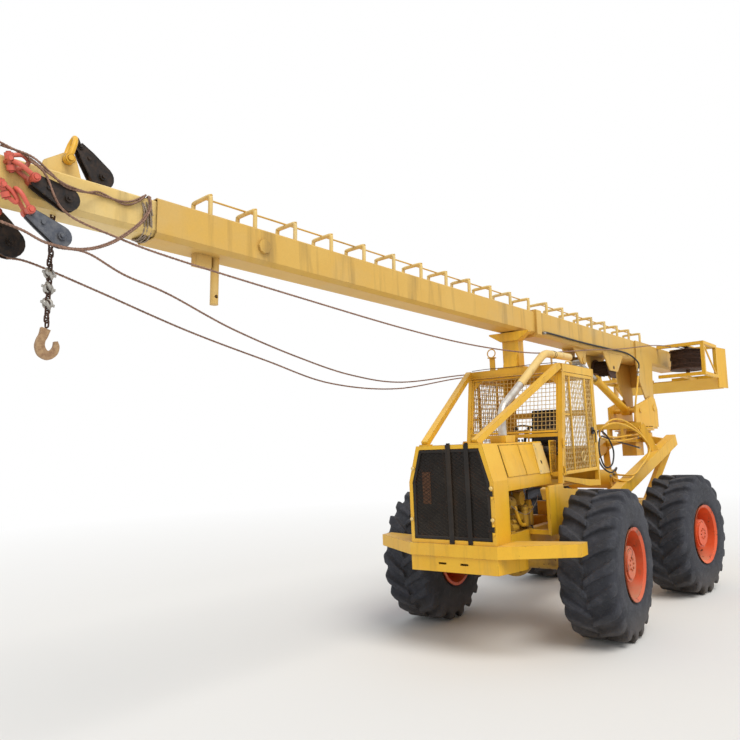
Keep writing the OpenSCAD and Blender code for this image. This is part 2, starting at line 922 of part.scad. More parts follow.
// Gooseneck: two rising box beams, a front arch, a cross arch and rear legs
beam_foot = [-2300, 1505];
beam_top = [-4620, 2318];
module gooseneck() {
  slope = (beam_top[1] - beam_foot[1]) / (beam_foot[0] - beam_top[0]);
  steered()
    color(yellow) {
      both_sides() {
        beam([beam_foot[0], beam_y, beam_foot[1]], [beam_top[0], beam_y, beam_top[1]], beam_w, beam_h);
        // Foot of each beam, down to the chassis rail
        side_plate([[-2180, rear_rail_top - 60], [-2180, 1540], [-2700, 1650], [-2700, rear_rail_top - 60]],
          beam_y - beam_w / 2 - 17, 40);
        translate([-2700, rail_half, rear_rail_top - 120])
          cube([520, beam_y - beam_w / 2 - rail_half - 10, 60]);
        // Front arch leg
        beam([-3760, 430, 2590], [-3900, beam_y - 10, 2120], 110, 110);
        // Cross arch under the slewing base
        beam([turret_x, 0, 2390], [turret_x, beam_y, 2270], 150, 120);
        // Rear leg
        difference() {
          beam([-4460, beam_y - 20, 2200], [tail_x + 110, rail_half - 60, rear_rail_top - 60], 110, 110);
          translate([tail_x - 200, 0, rear_rail_top - 300])
            cube([600, 600, 300]);
        }
      }
      translate([-3815, -470, 2540])
        cube([110, 940, 100]);
      // Seat of the slewing base
      translate([turret_x, 0, base_z - 80])
        cylinder(r = ring_r - 40, h = 80, $fn = round_fn);
      // Deck from the arch to the base, and the gear case under it
      translate([turret_x - 200, -150, 2300])
        cube([-3705 - turret_x + 200, 300, 60]);
      both_sides()
        translate([-3815, 100, 2360])
          cube([110, 50, 180]);
      translate([turret_x - 40, -130, 2060])
        cube([300, 260, 240]);
    }
}

ring_r = 340;
ring_z = 2520;
base_z = 2460;
spigot_r = 120;
spigot_fit = 0.08;
module slew_base() {
  steered()
    color(yellow)
      translate([turret_x, 0, 0]) {
        difference() {
          union() {
            translate([0, 0, base_z])
              cylinder(r = ring_r - 60, h = ring_z - base_z, $fn = round_fn);
            translate([0, 0, ring_z - 24])
              cylinder(r = ring_r, h = 24, $fn = round_fn);
          }
          translate([0, 0, base_z - 1])
            cylinder(r = spigot_r + spigot_fit, h = 100, $fn = round_fn);
        }
      }
}

module reservoir() {
  steered()
    color(yellow) {
      cross_bar([-2760, 0, 1740], 150, 760, round_fn);
      both_sides()
        translate([-2800, rail_half - 90, rear_rail_top])
          cube([80, 60, 1640 - rear_rail_top]);
      cross_bar([-2760, 0, 1740], 60, 800, round_fn);
    }
}

// Steering cylinders; columns: front pin x, front pin y, rear pin x, rear pin y when straight
steer_pin = [-1000, 420, -2250, 450];
steer_z = 960;
steer_r = 55;
steer_rod_r = 28;
steer_barrel_len = 815;
steer_rod_len = 740;
steer_pin_r = 25;
ear_back = 190;
function turned(p) = [
  -pivot_back + (p[0] + pivot_back) * cos(steer_angle) - p[1] * sin(steer_angle),
  (p[0] + pivot_back) * sin(steer_angle) + p[1] * cos(steer_angle)
];

// Two ears, one over and one under a cylinder's eye, joined by a web at dx
module steer_ears(x, y, dx, y_in) {
  for (dz = [-68, 43])
    translate([0, 0, steer_z + dz]) {
      translate([x, y, 0])
        cylinder(r = 55, h = 25, $fn = fine_fn);
      translate([min(x, x + dx), y_in, 0])
        cube([abs(dx), y + 55 - y_in, 25]);
    }
  translate([dx > 0 ? x + dx - 25 : x + dx, y_in, steer_z - 68])
    cube([25, y + 55 - y_in, 136]);
}

module steer_barrel(side) {
  a = [steer_pin[0], side * steer_pin[1]];
  b = turned([steer_pin[2], side * steer_pin[3]]);
  u = (b - a) / norm(b - a);
  len = steer_barrel_len;
  color(yellow)
    difference() {
      union() {
        translate([a[0], a[1], steer_z - 35])
          cylinder(r = 50, h = 70, $fn = fine_fn);
        bar([a[0] + 30 * u[0], a[1] + 30 * u[1], steer_z], [a[0] + 90 * u[0], a[1] + 90 * u[1], steer_z], 32);
        bar([a[0] + 80 * u[0], a[1] + 80 * u[1], steer_z],
            [a[0] + len * u[0], a[1] + len * u[1], steer_z], steer_r);
      }
      translate([a[0], a[1], steer_z - 36])
        cylinder(r = steer_pin_r + 0.05, h = 72, $fn = fine_fn);
      bar([a[0] + 95 * u[0], a[1] + 95 * u[1], steer_z],
          [a[0] + (len + 1) * u[0], a[1] + (len + 1) * u[1], steer_z], steer_rod_r + 0.05);
    }
}

module steer_rod(side) {
  a = [steer_pin[0], side * steer_pin[1]];
  b = turned([steer_pin[2], side * steer_pin[3]]);
  u = (b - a) / norm(b - a);
  len = steer_rod_len;
  color(steel) {
    translate([b[0], b[1], steer_z - 35])
      cylinder(r = 48, h = 70, $fn = fine_fn);
    bar([b[0] - len * u[0], b[1] - len * u[1], steer_z],
        [b[0] - 30 * u[0], b[1] - 30 * u[1], steer_z], steer_rod_r);
  }
}

// Turret: two side plates on a ring, drawn about the slewing axis; columns: x, z
plate_y = 237;
plate_t = 30;
boom_pin = [-360, 2910];
luff_pin = [280, 2860];
pin_r = 40;
pin_fit = 0.05;
turret_side = [
  [490, 2640], [190, 2560], [-520, 2560], [-520, 2880], [-430, 3080], [-280, 3120], [-60, 3060], [490, 2930]
];
module turret() {
  on_turret()
    color(yellow) {
      translate([0, 0, ring_z + 6])
        cylinder(r = ring_r, h = 34, $fn = round_fn);
      difference() {
        both_sides()
          side_plate(turret_side, plate_y, plate_t);
        cross_bar([luff_pin[0], 0, luff_pin[1]], pin_r + pin_fit, 600);
      }
      // Boom pin with its two caps
      cross_bar([boom_pin[0], 0, boom_pin[1]], pin_r, 2 * plate_y + plate_t);
      both_sides()
        cross_bar([boom_pin[0], plate_y + plate_t / 2 + 6, boom_pin[1]], pin_r + 18, 16);
      translate([-160, -plate_y, ring_z + 40])
        cube([30, 2 * plate_y, 120]);
      translate([0, 0, ring_z - 50])
        cylinder(r = spigot_r, h = 70, $fn = round_fn);
      both_sides()
        translate([-500, 150, ring_z + 6])
          cube([980, plate_y - 150, 34]);
    }
}

// Boom: hollow box sections with chamfered lower corners; columns: y, z
function box_points(size, cut) = [
  [-size / 2, -size / 2 + cut], [-size / 2 + cut, -size / 2], [size / 2 - cut, -size / 2],
  [size / 2, -size / 2 + cut], [size / 2, size / 2 - 14], [size / 2 - 14, size / 2],
  [-size / 2 + 14, size / 2], [-size / 2, size / 2 - 14]
];

module box_tube(x0, x1, size, wall) {
  translate([x0, 0, 0])
    rotate([90, 0, 90])
      linear_extrude(x1 - x0)
        difference() {
          polygon(box_points(size, 40));
          polygon(box_points(size - 2 * wall, 40 - wall / 2));
        }
}

// Hoops over the boom's top; s0 and count place them along the boom
hoop_h = 190;
hoop_r = 12;
module hoops(s_first, count, size) {
  half = size / 2 - 30;
  for (i = [0:count - 1]) {
    x = s_first - i * hoop_pitch;
    for (side = [-1, 1])
      translate([x, side * half, size / 2 - 2])
        cylinder(r = hoop_r - 2, h = hoop_h - 10, $fn = 16);
    cross_bar([x, 0, size / 2 + hoop_h - 12], hoop_r, 2 * half + 2 * hoop_r + 6, 16);
  }
  if (count > 1)
    bar([s_first - (count - 1) * hoop_pitch, 0, size / 2 + hoop_h + 6],
        [s_first, 0, size / 2 + hoop_h + 6], 9, 16);
}

tail_s = -1950;
boom_wall = 10;
collar = 18;
luff_eye = [2010, -370];
luff_cheek = 95;
hoop_s = 3240;
module boom_base() {
  heel_y = base_size / 2 + 13;
  pin_u = boom_pin_local();
  on_boom()
    difference() {
      color(tan_side)
        union() {
          box_tube(tail_s, base_end, base_size, boom_wall);
          // Collar around the open end
          translate([base_end - 110, 0, 0])
            rotate([90, 0, 90])
              linear_extrude(110)
                difference() {
                  polygon(box_points(base_size + 2 * collar, 40));
                  polygon(box_points(base_size - 2, 40));
                }
          // Splice flange round the middle section
          translate([base_end, 0, 0])
            rotate([90, 0, 90])
              linear_extrude(24)
                difference() {
                  polygon(box_points(base_size + 2 * collar, 40));
                  polygon(box_points(mid_size, 40));
                }
          // Heel plates down to the pin between the turret plates
          both_sides()
            side_plate([
              [150, base_size / 2], [150, -220], [60, -560], [pin_u[0] + 130, pin_u[1] + 10],
              [pin_u[0], pin_u[1] - 110],
              [pin_u[0] - 130, pin_u[1]], [-540, -420], [-560, -180], [-560, base_size / 2]
            ], heel_y, 26);
          // Cross plates between the heel plates
          translate([-520, -heel_y, -600])
            cube([26, 2 * heel_y, 600 - base_size / 2]);
          // Luffing bracket under the boom
          both_sides()
            side_plate([
              [luff_eye[0] - 90, -base_size / 2], [luff_eye[0] + 330, -base_size / 2],
              [luff_eye[0] + 60, luff_eye[1] - 60], [luff_eye[0] - 60, luff_eye[1] - 60]
            ], luff_cheek, 26);
          both_sides()
            cross_bar([luff_eye[0], luff_cheek + 20, luff_eye[1]], pin_r + 15, 18);
          // Winch brackets under the boom
          both_sides()
            side_plate([
              [650, 30 - base_size / 2], [1450, 30 - base_size / 2], [1200, winch_at[1] - 60],
              [900, winch_at[1] - 60]
            ], winch_half + 18, 20);
          hoops(hoop_s, 8, base_size);
        }
      cross_bar([pin_u[0], 0, pin_u[1]], pin_r + pin_fit, 600);
      cross_bar([winch_at[0], 0, winch_at[1]], winch_shaft + pin_fit, 500);
    }
}

// The turret's boom pin in the boom's own axes
function boom_pin_local() = let (dx = boom_pin[0], dz = boom_pin[1] - boom_z)
  [dx * cos(boom_rise) + dz * sin(boom_rise), -dx * sin(boom_rise) + dz * cos(boom_rise)];
function luff_pin_local() = let (dx = luff_pin[0], dz = luff_pin[1] - boom_z)
  [dx * cos(boom_rise) + dz * sin(boom_rise), -dx * sin(boom_rise) + dz * cos(boom_rise)];

// Winch drum under the boom
winch_at = [1050, -400];
winch_half = 150;
winch_shaft = 30;
module winch_drum() {
  on_boom()
    color(rust) {
      cross_bar([winch_at[0], 0, winch_at[1]], winch_shaft, 2 * winch_half + 60);
      cross_bar([winch_at[0], 0, winch_at[1]], 120, 2 * winch_half - 20, round_fn);
      for (side = [-1, 1])
        cross_bar([winch_at[0], side * (winch_half - 12), winch_at[1]], 170, 16, round_fn);
    }
}

// Cage across the boom's tail, with a flared guard behind it
cage_s0 = -1640;
cage_s1 = -900;
cage_y = 1040;
cage_u0 = -420;
cage_u1 = 210;
cage_bar = 60;
carrier_t = 30;
reel_s = (cage_s0 + cage_s1) / 2;
reel_y = 610;
reel_r = 290;
reel_shaft = 35;
module tail_cage() {
  inner = base_size / 2;
  on_boom()
    color(yellow) {
      both_sides() {
        for (s = [cage_s0, cage_s1 - cage_bar], u = [cage_u0, cage_u1 - cage_bar])
          translate([s, inner, u])
            cube([cage_bar, cage_y - inner, cage_bar]);
        for (u = [cage_u0, cage_u1 - cage_bar])
          translate([cage_s0, cage_y - cage_bar, u])
            cube([cage_s1 - cage_s0, cage_bar, cage_bar]);
        for (s = [cage_s0, cage_s1 - cage_bar])
          translate([s, cage_y - cage_bar, cage_u0])
            cube([cage_bar, cage_bar, cage_u1 - cage_u0]);
        // Carriers of the reel's upright shaft
        for (u = [cage_u0, cage_u1 - carrier_t])
          difference() {
            translate([cage_s0 + cage_bar, reel_y - 60, u])
              cube([cage_s1 - cage_s0 - 2 * cage_bar, 120, carrier_t]);
            translate([reel_s, reel_y, u - 1])
              cylinder(r = reel_shaft + 0.05, h = carrier_t + 2, $fn = fine_fn);
          }
        // Diagonal of the cage's outer side
        beam([cage_s0 + 40, cage_y - 20, cage_u0 + 40], [cage_s1 - 40, cage_y - 20, cage_u1 - 40], 20, 36);
        // Flared side of the rear guard
        translate([0, 0, -600])
          linear_extrude(cage_u1 + 560)
            polygon([
              [cage_s0, cage_y - 20], [cage_s0, cage_y], [cage_s0 - 330, cage_y + 60],
              [cage_s0 - 330, cage_y + 40]
            ]);
      }
      // Flared floor of the rear guard
      side_plate([
        [cage_s0, cage_u0], [cage_s0, cage_u0 + 20], [cage_s0 - 330, -580], [cage_s0 - 330, -600]
      ], 0, 2 * cage_y - 40);
    }
}

module reel(side) {
  on_boom()
    translate([reel_s, side * reel_y, 0])
      color(rust) {
        translate([0, 0, cage_u0 + 2])
          cylinder(r = reel_shaft, h = cage_u1 - cage_u0 - 4, $fn = fine_fn);
        for (i = [0:3])
          translate([0, 0, -245 + i * 85])
            cylinder(r = reel_r - (i % 2) * 12, h = 80, $fn = round_fn);
        translate([0, 0, -262])
          cylinder(r = reel_r + 20, h = 14, $fn = round_fn);
        translate([0, 0, 95])
          cylinder(r = reel_r + 20, h = 14, $fn = round_fn);
        translate([0, 0, -250])
          cylinder(r = reel_r - 40, h = 350, $fn = round_fn);
      }
}

// Luffing cylinder between the turret and the boom
luff_r = 65;
luff_rod_r = 38;
module luff_barrel() {
  a = [luff_pin_local()[0], 0, luff_pin_local()[1]];
  b = [luff_eye[0], 0, luff_eye[1]];
  u = (b - a) / norm(b - a);
  on_boom()
    color(yellow)
      difference() {
        union() {
          cross_bar(a, 75, 150, round_fn);
          cross_bar(a, pin_r, 2 * (plate_y + plate_t), fine_fn);
          bar(a + 40 * u, a + 1250 * u, luff_r, round_fn);
          bar(a + 1180 * u, a + 1260 * u, luff_r + 14, round_fn);
        }
        bar(a + 160 * u, a + 1270 * u, luff_rod_r + 0.05, round_fn);
      }
}

module luff_rod() {
  a = [luff_pin_local()[0], 0, luff_pin_local()[1]];
  b = [luff_eye[0], 0, luff_eye[1]];
  u = (b - a) / norm(b - a);
  on_boom()
    color(steel)
      union() {
        bar(b - 1480 * u, b - 40 * u, luff_rod_r, round_fn);
        cross_bar(b, 70, 150, round_fn);
      }
}

// Middle section with its hoops, stub and wear pads
mid_wall = 8;
pad_gap = 0.3;
pad_s = mid_end - 500;
pad_len = 280;
module boom_mid() {
  on_boom()
    difference() {
      color(tan_side)
        union() {
          box_tube(base_end, mid_end, mid_size, mid_wall);
          hoops(hoop_s + 12 * hoop_pitch, 12, mid_size);
          // Wear pads that the tip section slides in
          for (a = [0:90:270])
            rotate([a, 0, 0])
              translate([pad_s, -60, tip_size / 2 + pad_gap])
                cube([pad_len, 120, (mid_size - tip_size) / 2 - mid_wall - pad_gap + 1]);
          // Hanging stub with a hole, and the lug beside it
          translate([mid_end - 680, 0, -mid_size / 2 - 430])
            cylinder(r = 38, h = 432, $fn = fine_fn);
          translate([mid_end - 620, -40, -mid_size / 2 - 110])
            cube([160, 80, 112]);
          // Round boss on each side
          both_sides()
            translate([mid_end - 1100, mid_size / 2 - 4, 0])
              rotate([-90, 0, 0])
                cylinder(r = 70, h = 30, $fn = 8);
        }
      translate([mid_end - 680, 0, -mid_size / 2 - 360])
        rotate([90, 0, 0])
          cylinder(r = 16, h = 200, center = true, $fn = fine_fn);
    }
}

// Tip section with its fin lug and head sheave
tip_end = mid_end + tip_reach;
tip_start = mid_end - 4660;
module boom_tip() {
  on_boom()
    color(pale)
      difference() {
        union() {
          box_tube(tip_start, tip_end, tip_size, 8);
          side_plate([
            [mid_end + 560, tip_size / 2 - 2], [mid_end + 620, tip_size / 2 + 200],
            [mid_end + 720, tip_size / 2 + 220],
            [mid_end + 860, tip_size / 2 + 120], [mid_end + 900, tip_size / 2 - 2]
          ], 0, 30);
          // Head plates that carry the end sheave
          both_sides()
            side_plate([
              [tip_end - 300, -tip_size / 2 + 20], [tip_end + 200, -tip_size / 2 - 60], [tip_end + 260, 0],
              [tip_end + 200, tip_size / 2 - 60], [tip_end - 300, tip_size / 2 - 20]
            ], tip_size / 2 + 10, 20);
        }
        translate([mid_end + 690, 0, tip_size / 2 + 165])
          rotate([90, 0, 0])
            cylinder(r = 26, h = 100, center = true, $fn = fine_fn);
        cross_bar([tip_end + 120, 0, -20], 30.05, 500);
      }
}

// Tackle at the boom's tip: four pulley blocks and the hook on its line
module pulley_block(head, wheel, side, r, t) {
  way = wheel - head;
  cross_bar([wheel[0], side, wheel[1]], r, t, round_fn);
  translate([head[0], side, head[1]])
    rotate([0, -atan2(way[1], way[0]), 0])
      translate([-30, -t / 2 + 9, -r * 0.55])
        cube([norm(way) + 30, t - 18, r * 1.1]);
}

// Columns: head along the boom, head height, wheel along the boom, wheel height, side, radius, width
tip_blocks = [
  [1010, -10, 760, -85, 215, 88, 75], [1020, -250, 790, -375, 205, 80, 60],
  [560, 520, 370, 300, -100, 105, 80], [1290, -200, 1200, -420, -220, 115, 80]
];
// Columns: pin along the boom, pin height, block's head along the boom, head height, side
tip_links = [
  [1140, 85, 1010, 0, 215], [1110, -100, 1020, -240, 205], [1240, -30, 1290, -190, -220]
];
fin_ring_u = tip_size / 2 + 306;
hook_s = mid_end + 760;
hook_drop = 980;
module tip_tackle() {
  on_boom() {
    color(black)
      for (b = tip_blocks)
        pulley_block([mid_end + b[0], b[1]], [mid_end + b[2], b[3]], b[4], b[5], b[6]);
    color(red) {
      // Bent bars from the boom's sides to the heads of the blocks
      for (l = tip_links) {
        pin = [mid_end + l[0], sign(l[4]) * (tip_size / 2 + 46), l[1]];
        cross_bar(pin, 22, 92);
        bar(pin, [mid_end + l[2], l[4], l[3]], 13);
      }
      cross_bar([tip_end + 120, 0, -20], 100, 120, round_fn);
      cross_bar([tip_end + 120, 0, -20], 30, tip_size + 60);
    }
    // Ring on the fin plate, and the link from it to the block behind the boom
    color(yellow)
      translate([mid_end + 680, 0, fin_ring_u])
        rotate([90, 0, 0])
          rotate_extrude($fn = fine_fn)
            translate([70, 0])
              circle(r = 22, $fn = 20);
    color(black)
      bar([mid_end + 620, 0, fin_ring_u + 30], [mid_end + 560, -100, 500], 14);
    color(rust) {
      translate([hook_s, 0, -tip_size / 2 - hook_drop + 120])
        cylinder(r = 12, h = hook_drop - 120, $fn = 16);
      translate([hook_s, 0, -tip_size / 2 - hook_drop])
        rotate([90, 0, 0])
          difference() {
            cylinder(r = 90, h = 40, center = true, $fn = fine_fn);
            cylinder(r = 48, h = 42, center = true, $fn = fine_fn);
            translate([0, 0, -30])
              cube([100, 60, 60]);
          }
      translate([hook_s, 0, -tip_size / 2 - hook_drop + 70])
        cylinder(r = 26, h = 60, $fn = fine_fn);
    }
  }
}

// Moves a sub-part from the front axle to the frame's origin
module framed() {
  translate([-origin_x, -origin_y, 0])
    children();
}

framed() front_chassis();
framed() front_axle();
framed() engine();
framed() radiator();
framed() nose_frame();
framed() grille_door();
framed() hood();
framed() bumper();
framed() side_tanks();
framed() cab_frame();
framed() cab_roof();
framed() front_screen();
framed() left_door();
framed() right_door();
framed() seat();
framed() sweep_bars();
framed() exhaust();
framed() boom_cradle();
framed() rear_chassis();
framed() rear_axle();
framed() gooseneck();
framed() slew_base();
framed() reservoir();
framed() steer_barrel(1);  // steer_barrel_left
framed() steer_rod(1);  // steer_rod_left
framed() steer_barrel(-1);  // steer_barrel_right
framed() steer_rod(-1);  // steer_rod_right
framed() turret();
framed() luff_barrel();
framed() luff_rod();
framed() boom_base();
framed() tail_cage();
framed() reel(1);  // reel_left
framed() reel(-1);  // reel_right
framed() winch_drum();
framed() boom_mid();
framed() boom_tip();
framed() tip_tackle();
framed() at_wheel(0, 1) rim();  // rim_front_left
framed() at_wheel(0, 1) tyre(1);  // tyre_front_left
framed() at_wheel(0, -1) rim();  // rim_front_right
framed() at_wheel(0, -1) tyre(-1);  // tyre_front_right
framed() steered() at_wheel(-wheelbase, 1) rim();  // rim_rear_left
framed() steered() at_wheel(-wheelbase, 1) tyre(1);  // tyre_rear_left
framed() steered() at_wheel(-wheelbase, -1) rim();  // rim_rear_right
framed() steered() at_wheel(-wheelbase, -1) tyre(-1);  // tyre_rear_right
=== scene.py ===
# %% [markdown]
# # An old forestry skidder with a long telescopic boom
# The machine is a imported CAD model with named parts that already move. This script dresses that model:
# it gives every plate, tyre and rope its finish, adds the small pieces that a CAD model leaves out, and
# sets up a plain studio. Each step starts with a note on the real thing and on the way chosen to make it.

# %% Load the frame
import math

import bmesh
import bpy
from mathutils import Matrix, Vector


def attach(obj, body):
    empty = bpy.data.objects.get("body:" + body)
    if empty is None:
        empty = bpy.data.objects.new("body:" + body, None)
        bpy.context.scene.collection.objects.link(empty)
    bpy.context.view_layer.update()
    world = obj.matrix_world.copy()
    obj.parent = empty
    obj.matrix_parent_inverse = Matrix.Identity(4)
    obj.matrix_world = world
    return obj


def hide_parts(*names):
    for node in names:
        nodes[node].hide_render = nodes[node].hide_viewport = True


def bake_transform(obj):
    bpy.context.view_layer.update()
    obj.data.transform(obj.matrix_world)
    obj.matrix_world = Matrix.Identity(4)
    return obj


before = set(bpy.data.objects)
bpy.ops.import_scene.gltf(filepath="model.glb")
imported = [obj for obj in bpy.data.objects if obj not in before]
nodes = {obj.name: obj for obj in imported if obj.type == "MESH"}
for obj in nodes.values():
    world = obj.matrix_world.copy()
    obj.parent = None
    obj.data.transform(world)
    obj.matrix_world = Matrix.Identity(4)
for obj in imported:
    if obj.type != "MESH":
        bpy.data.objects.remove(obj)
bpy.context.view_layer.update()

# %% [markdown]
# ## Places on the machine
# The rear frame is parked turned on its pivot, and the boom is slewed and raised on top of that. Three
# matrices carry a point from those parts' own axes to the frame's, so that details can be written in
# the numbers a fitter would use: along the boom, across it and up from its middle. On the front frame a
# point is given from the ground under the front axle, and GROUND carries it to the frame's origin.

# %% Three moving axes
STEER = math.radians(-9.6)
SLEW = math.radians(2.2)
RISE = math.radians(2.5)
PIVOT = Vector((-1.71, 0, 0))
TURRET_BACK = 2.75
BOOM_HEIGHT = 3.94
GROUND = Matrix.Translation((-0.24, -0.17, 0))
REAR = GROUND @ Matrix.Translation(PIVOT) @ Matrix.Rotation(STEER, 4, "Z") @ Matrix.Translation(-PIVOT)
TURRET = REAR @ Matrix.Translation((PIVOT.x - TURRET_BACK, 0, 0)) @ Matrix.Rotation(SLEW, 4, "Z")
BOOM = TURRET @ Matrix.Translation((0, 0, BOOM_HEIGHT)) @ Matrix.Rotation(-RISE, 4, "Y")
print("slewing axis at", [round(v, 3) for v in TURRET.translation])

# %% [markdown]
# ## Camera
# The photograph was taken from the front left, a little below the boom, with a moderate lens. The
# position and the three angles below come from lining up the wheels, the nose and the cab.

# %% Camera
YAW, PITCH, ROLL = 0.6243, 0.1101, -0.0400
look = Vector((-math.cos(YAW) * math.cos(PITCH), -math.sin(YAW) * math.cos(PITCH), math.sin(PITCH)))
level = look.cross(Vector((0, 0, 1))).normalized()
over = level.cross(look)
right = level * math.cos(ROLL) + over * math.sin(ROLL)
above = over * math.cos(ROLL) - level * math.sin(ROLL)
camera_data = bpy.data.cameras.new("camera")
camera_data.sensor_width = 36
camera_data.lens = 36 * 690.61 / 740
camera_data.clip_end = 200
camera = bpy.data.objects.new("camera", camera_data)
bpy.context.collection.objects.link(camera)
camera.matrix_world = Matrix((
    (right.x, above.x, -look.x, 8.4105),
    (right.y, above.y, -look.y, 3.8205),
    (right.z, above.z, -look.z, 2.412),
    (0, 0, 0, 1),
))
bpy.context.scene.camera = camera
print("lens", round(camera_data.lens, 2), "mm")

# %% [markdown]
# ## Node helpers
# Materials here are built from nodes. `add` makes a node and fills its sockets, from a value or from
# another node's output, and `blend_colour` and `scaled` wrap the two nodes that come up most.

# %% Node helpers
def add(tree, kind, sockets=None, **settings):
    node = tree.nodes.new(kind)
    for key, value in settings.items():
        setattr(node, key, value)
    for key, value in (sockets or {}).items():
        if isinstance(value, bpy.types.NodeSocket):
            tree.links.new(value, node.inputs[key])
        else:
            node.inputs[key].default_value = value
    return node


def blend_colour(tree, factor, one, two):
    """Output of a colour mix: one where the factor is 0, two where it is 1."""
    return add(tree, "ShaderNodeMix", {0: factor, 6: one, 7: two}, data_type="RGBA").outputs[2]


def scaled(tree, value, low, high, to_low=0.0, to_high=1.0):
    """Output of a clamped map from low..high to to_low..to_high."""
    return add(tree, "ShaderNodeMapRange", {0: value, 1: low, 2: high, 3: to_low, 4: to_high}).outputs[0]


def math_node(tree, operation, one, two=0.0):
    return add(tree, "ShaderNodeMath", {0: one, 1: two}, operation=operation, use_clamp=True).outputs[0]


def noise(tree, place, scale, detail=3.0, rough=0.55):
    return add(tree, "ShaderNodeTexNoise", {
        "Vector": place, "Scale": scale, "Detail": detail, "Roughness": rough}).outputs["Fac"]


def new_group(name, inputs, outputs):
    """A shader node group with named sockets; each is (kind, name, value)."""
    group = bpy.data.node_groups.new(name, "ShaderNodeTree")
    for kind, title, value in inputs:
        socket = group.interface.new_socket(name=title, in_out="INPUT", socket_type=kind)
        socket.default_value = value
    for kind, title in outputs:
        group.interface.new_socket(name=title, in_out="OUTPUT", socket_type=kind)
    return group, group.nodes.new("NodeGroupInput"), group.nodes.new("NodeGroupOutput")


FLOAT, VECTOR = "NodeSocketFloat", "NodeSocketVector"

# %% [markdown]
# ## Wear on edges
# Paint goes first where plates meet: on corners, where it chips to rust. Cycles' Bevel node returns the
# normal that a slightly rounded edge would have. Where that differs from the flat normal there is an
# edge, so one group gives both the chip mask and a rounded normal that catches light on sharp plates.

# %% Edge wear group
edge_group, g_in, g_out = new_group("edge_wear", [
    (FLOAT, "Radius", 0.006), (FLOAT, "Patch Scale", 9.0), (FLOAT, "Amount", 0.5)],
    [(FLOAT, "Mask"), (VECTOR, "Normal")])
tree = edge_group
place = add(tree, "ShaderNodeTexCoord").outputs["Object"]
rounded = add(tree, "ShaderNodeBevel", {"Radius": g_in.outputs["Radius"]}, samples=4)
flat = add(tree, "ShaderNodeNewGeometry")
same = add(tree, "ShaderNodeVectorMath", {0: rounded.outputs[0], 1: flat.outputs["Normal"]}, operation="DOT_PRODUCT")
edge = scaled(tree, same.outputs["Value"], 0.99, 0.86)
patch = noise(tree, place, g_in.outputs["Patch Scale"], 5.0, 0.65)
limit = math_node(tree, "SUBTRACT", 0.86, math_node(tree, "MULTIPLY", g_in.outputs["Amount"], 0.5))
chips = scaled(tree, math_node(tree, "ADD", patch, math_node(tree, "MULTIPLY", edge, 0.22)), limit,
               add(tree, "ShaderNodeMath", {0: limit, 1: 0.03}, operation="ADD").outputs[0])
tree.links.new(chips, g_out.inputs["Mask"])
tree.links.new(rounded.outputs[0], g_out.inputs["Normal"])
print("group", edge_group.name)

# %% [markdown]
# ## Weather
# Outdoors, dirt settles on what faces up, gathers in corners, and runs down upright faces in streaks.
# The second group gives those three masks, plus a soft blotch for uneven fading. Streaks are a noise
# that is stretched along Z, and the corner mask is Ambient Occlusion broken up by noise: where it
# darkens a colour it paints the shade of corners and hollows as well as grime.

# %% Weather group
weather_group, g_in, g_out = new_group("weather", [
    (FLOAT, "Streak Scale", 7.0), (FLOAT, "Blotch Scale", 1.3), (FLOAT, "Corner Reach", 0.16)],
    [(FLOAT, "Streaks"), (FLOAT, "Dust"), (FLOAT, "Corners"), (FLOAT, "Blotch"), (FLOAT, "Grain")])
tree = weather_group
place = add(tree, "ShaderNodeTexCoord").outputs["Object"]
tall = add(tree, "ShaderNodeMapping", {"Vector": place, "Scale": (1, 1, 0.09)}).outputs[0]
runs = noise(tree, tall, g_in.outputs["Streak Scale"], 4.0, 0.6)
facing = add(tree, "ShaderNodeSeparateXYZ", {0: add(tree, "ShaderNodeNewGeometry").outputs["Normal"]}).outputs[2]
upright = scaled(tree, math_node(tree, "ABSOLUTE", facing), 0.85, 0.4)
blotch = noise(tree, place, g_in.outputs["Blotch Scale"], 4.0, 0.6)
grain = noise(tree, place, 55.0, 4.0, 0.7)
streaks = math_node(tree, "MULTIPLY", scaled(tree, runs, 0.52, 0.74), upright)
settled = math_node(tree, "MULTIPLY", scaled(tree, facing, 0.55, 0.98),
                    scaled(tree, math_node(tree, "MULTIPLY", blotch, math_node(tree, "ADD", grain, 0.5)), 0.3, 0.75))
# corner mask: Ambient Occlusion broken up by noise; where it darkens a colour it is painted shade in corners and
# hollows, with grime
hollow = add(tree, "ShaderNodeAmbientOcclusion", {"Distance": g_in.outputs["Corner Reach"]}, samples=6)
corners = math_node(tree, "MULTIPLY", scaled(tree, hollow.outputs["AO"], 0.75, 0.25),
                    scaled(tree, math_node(tree, "ADD", blotch, math_node(tree, "MULTIPLY", grain, 0.6)), 0.5, 0.95))
for title, value in (("Streaks", streaks), ("Dust", settled), ("Corners", corners), ("Blotch", blotch),
                     ("Grain", grain)):
    tree.links.new(value, g_out.inputs[title])
print("group", weather_group.name)

# %% [markdown]
# ## Enamel paint
# Most of the machine is brush and spray enamel over steel. One recipe serves every coat: two close tones
# mixed by the blotch, a faded tone in the sun, brown runs, grime with painted shade in corners, dust on
# top, and chips down to rusty steel. Each coat differs only in its tones and in how far the wear has gone.

# %% Enamel recipe
def rgb(red, green, blue):
    return (red, green, blue, 1.0)


RUST = rgb(0.155, 0.055, 0.022)
DEEP_RUST = rgb(0.060, 0.022, 0.012)
DUST = rgb(0.46, 0.38, 0.26)
# brown grime for runs and grain; it also darkens corners, where it is painted shade
GRIME_AND_SHADE = rgb(0.115, 0.066, 0.026)


def new_material(name):
    material = bpy.data.materials.new(name)
    material.use_nodes = True
    shader = material.node_tree.nodes["Principled BSDF"]
    return material, material.node_tree, shader


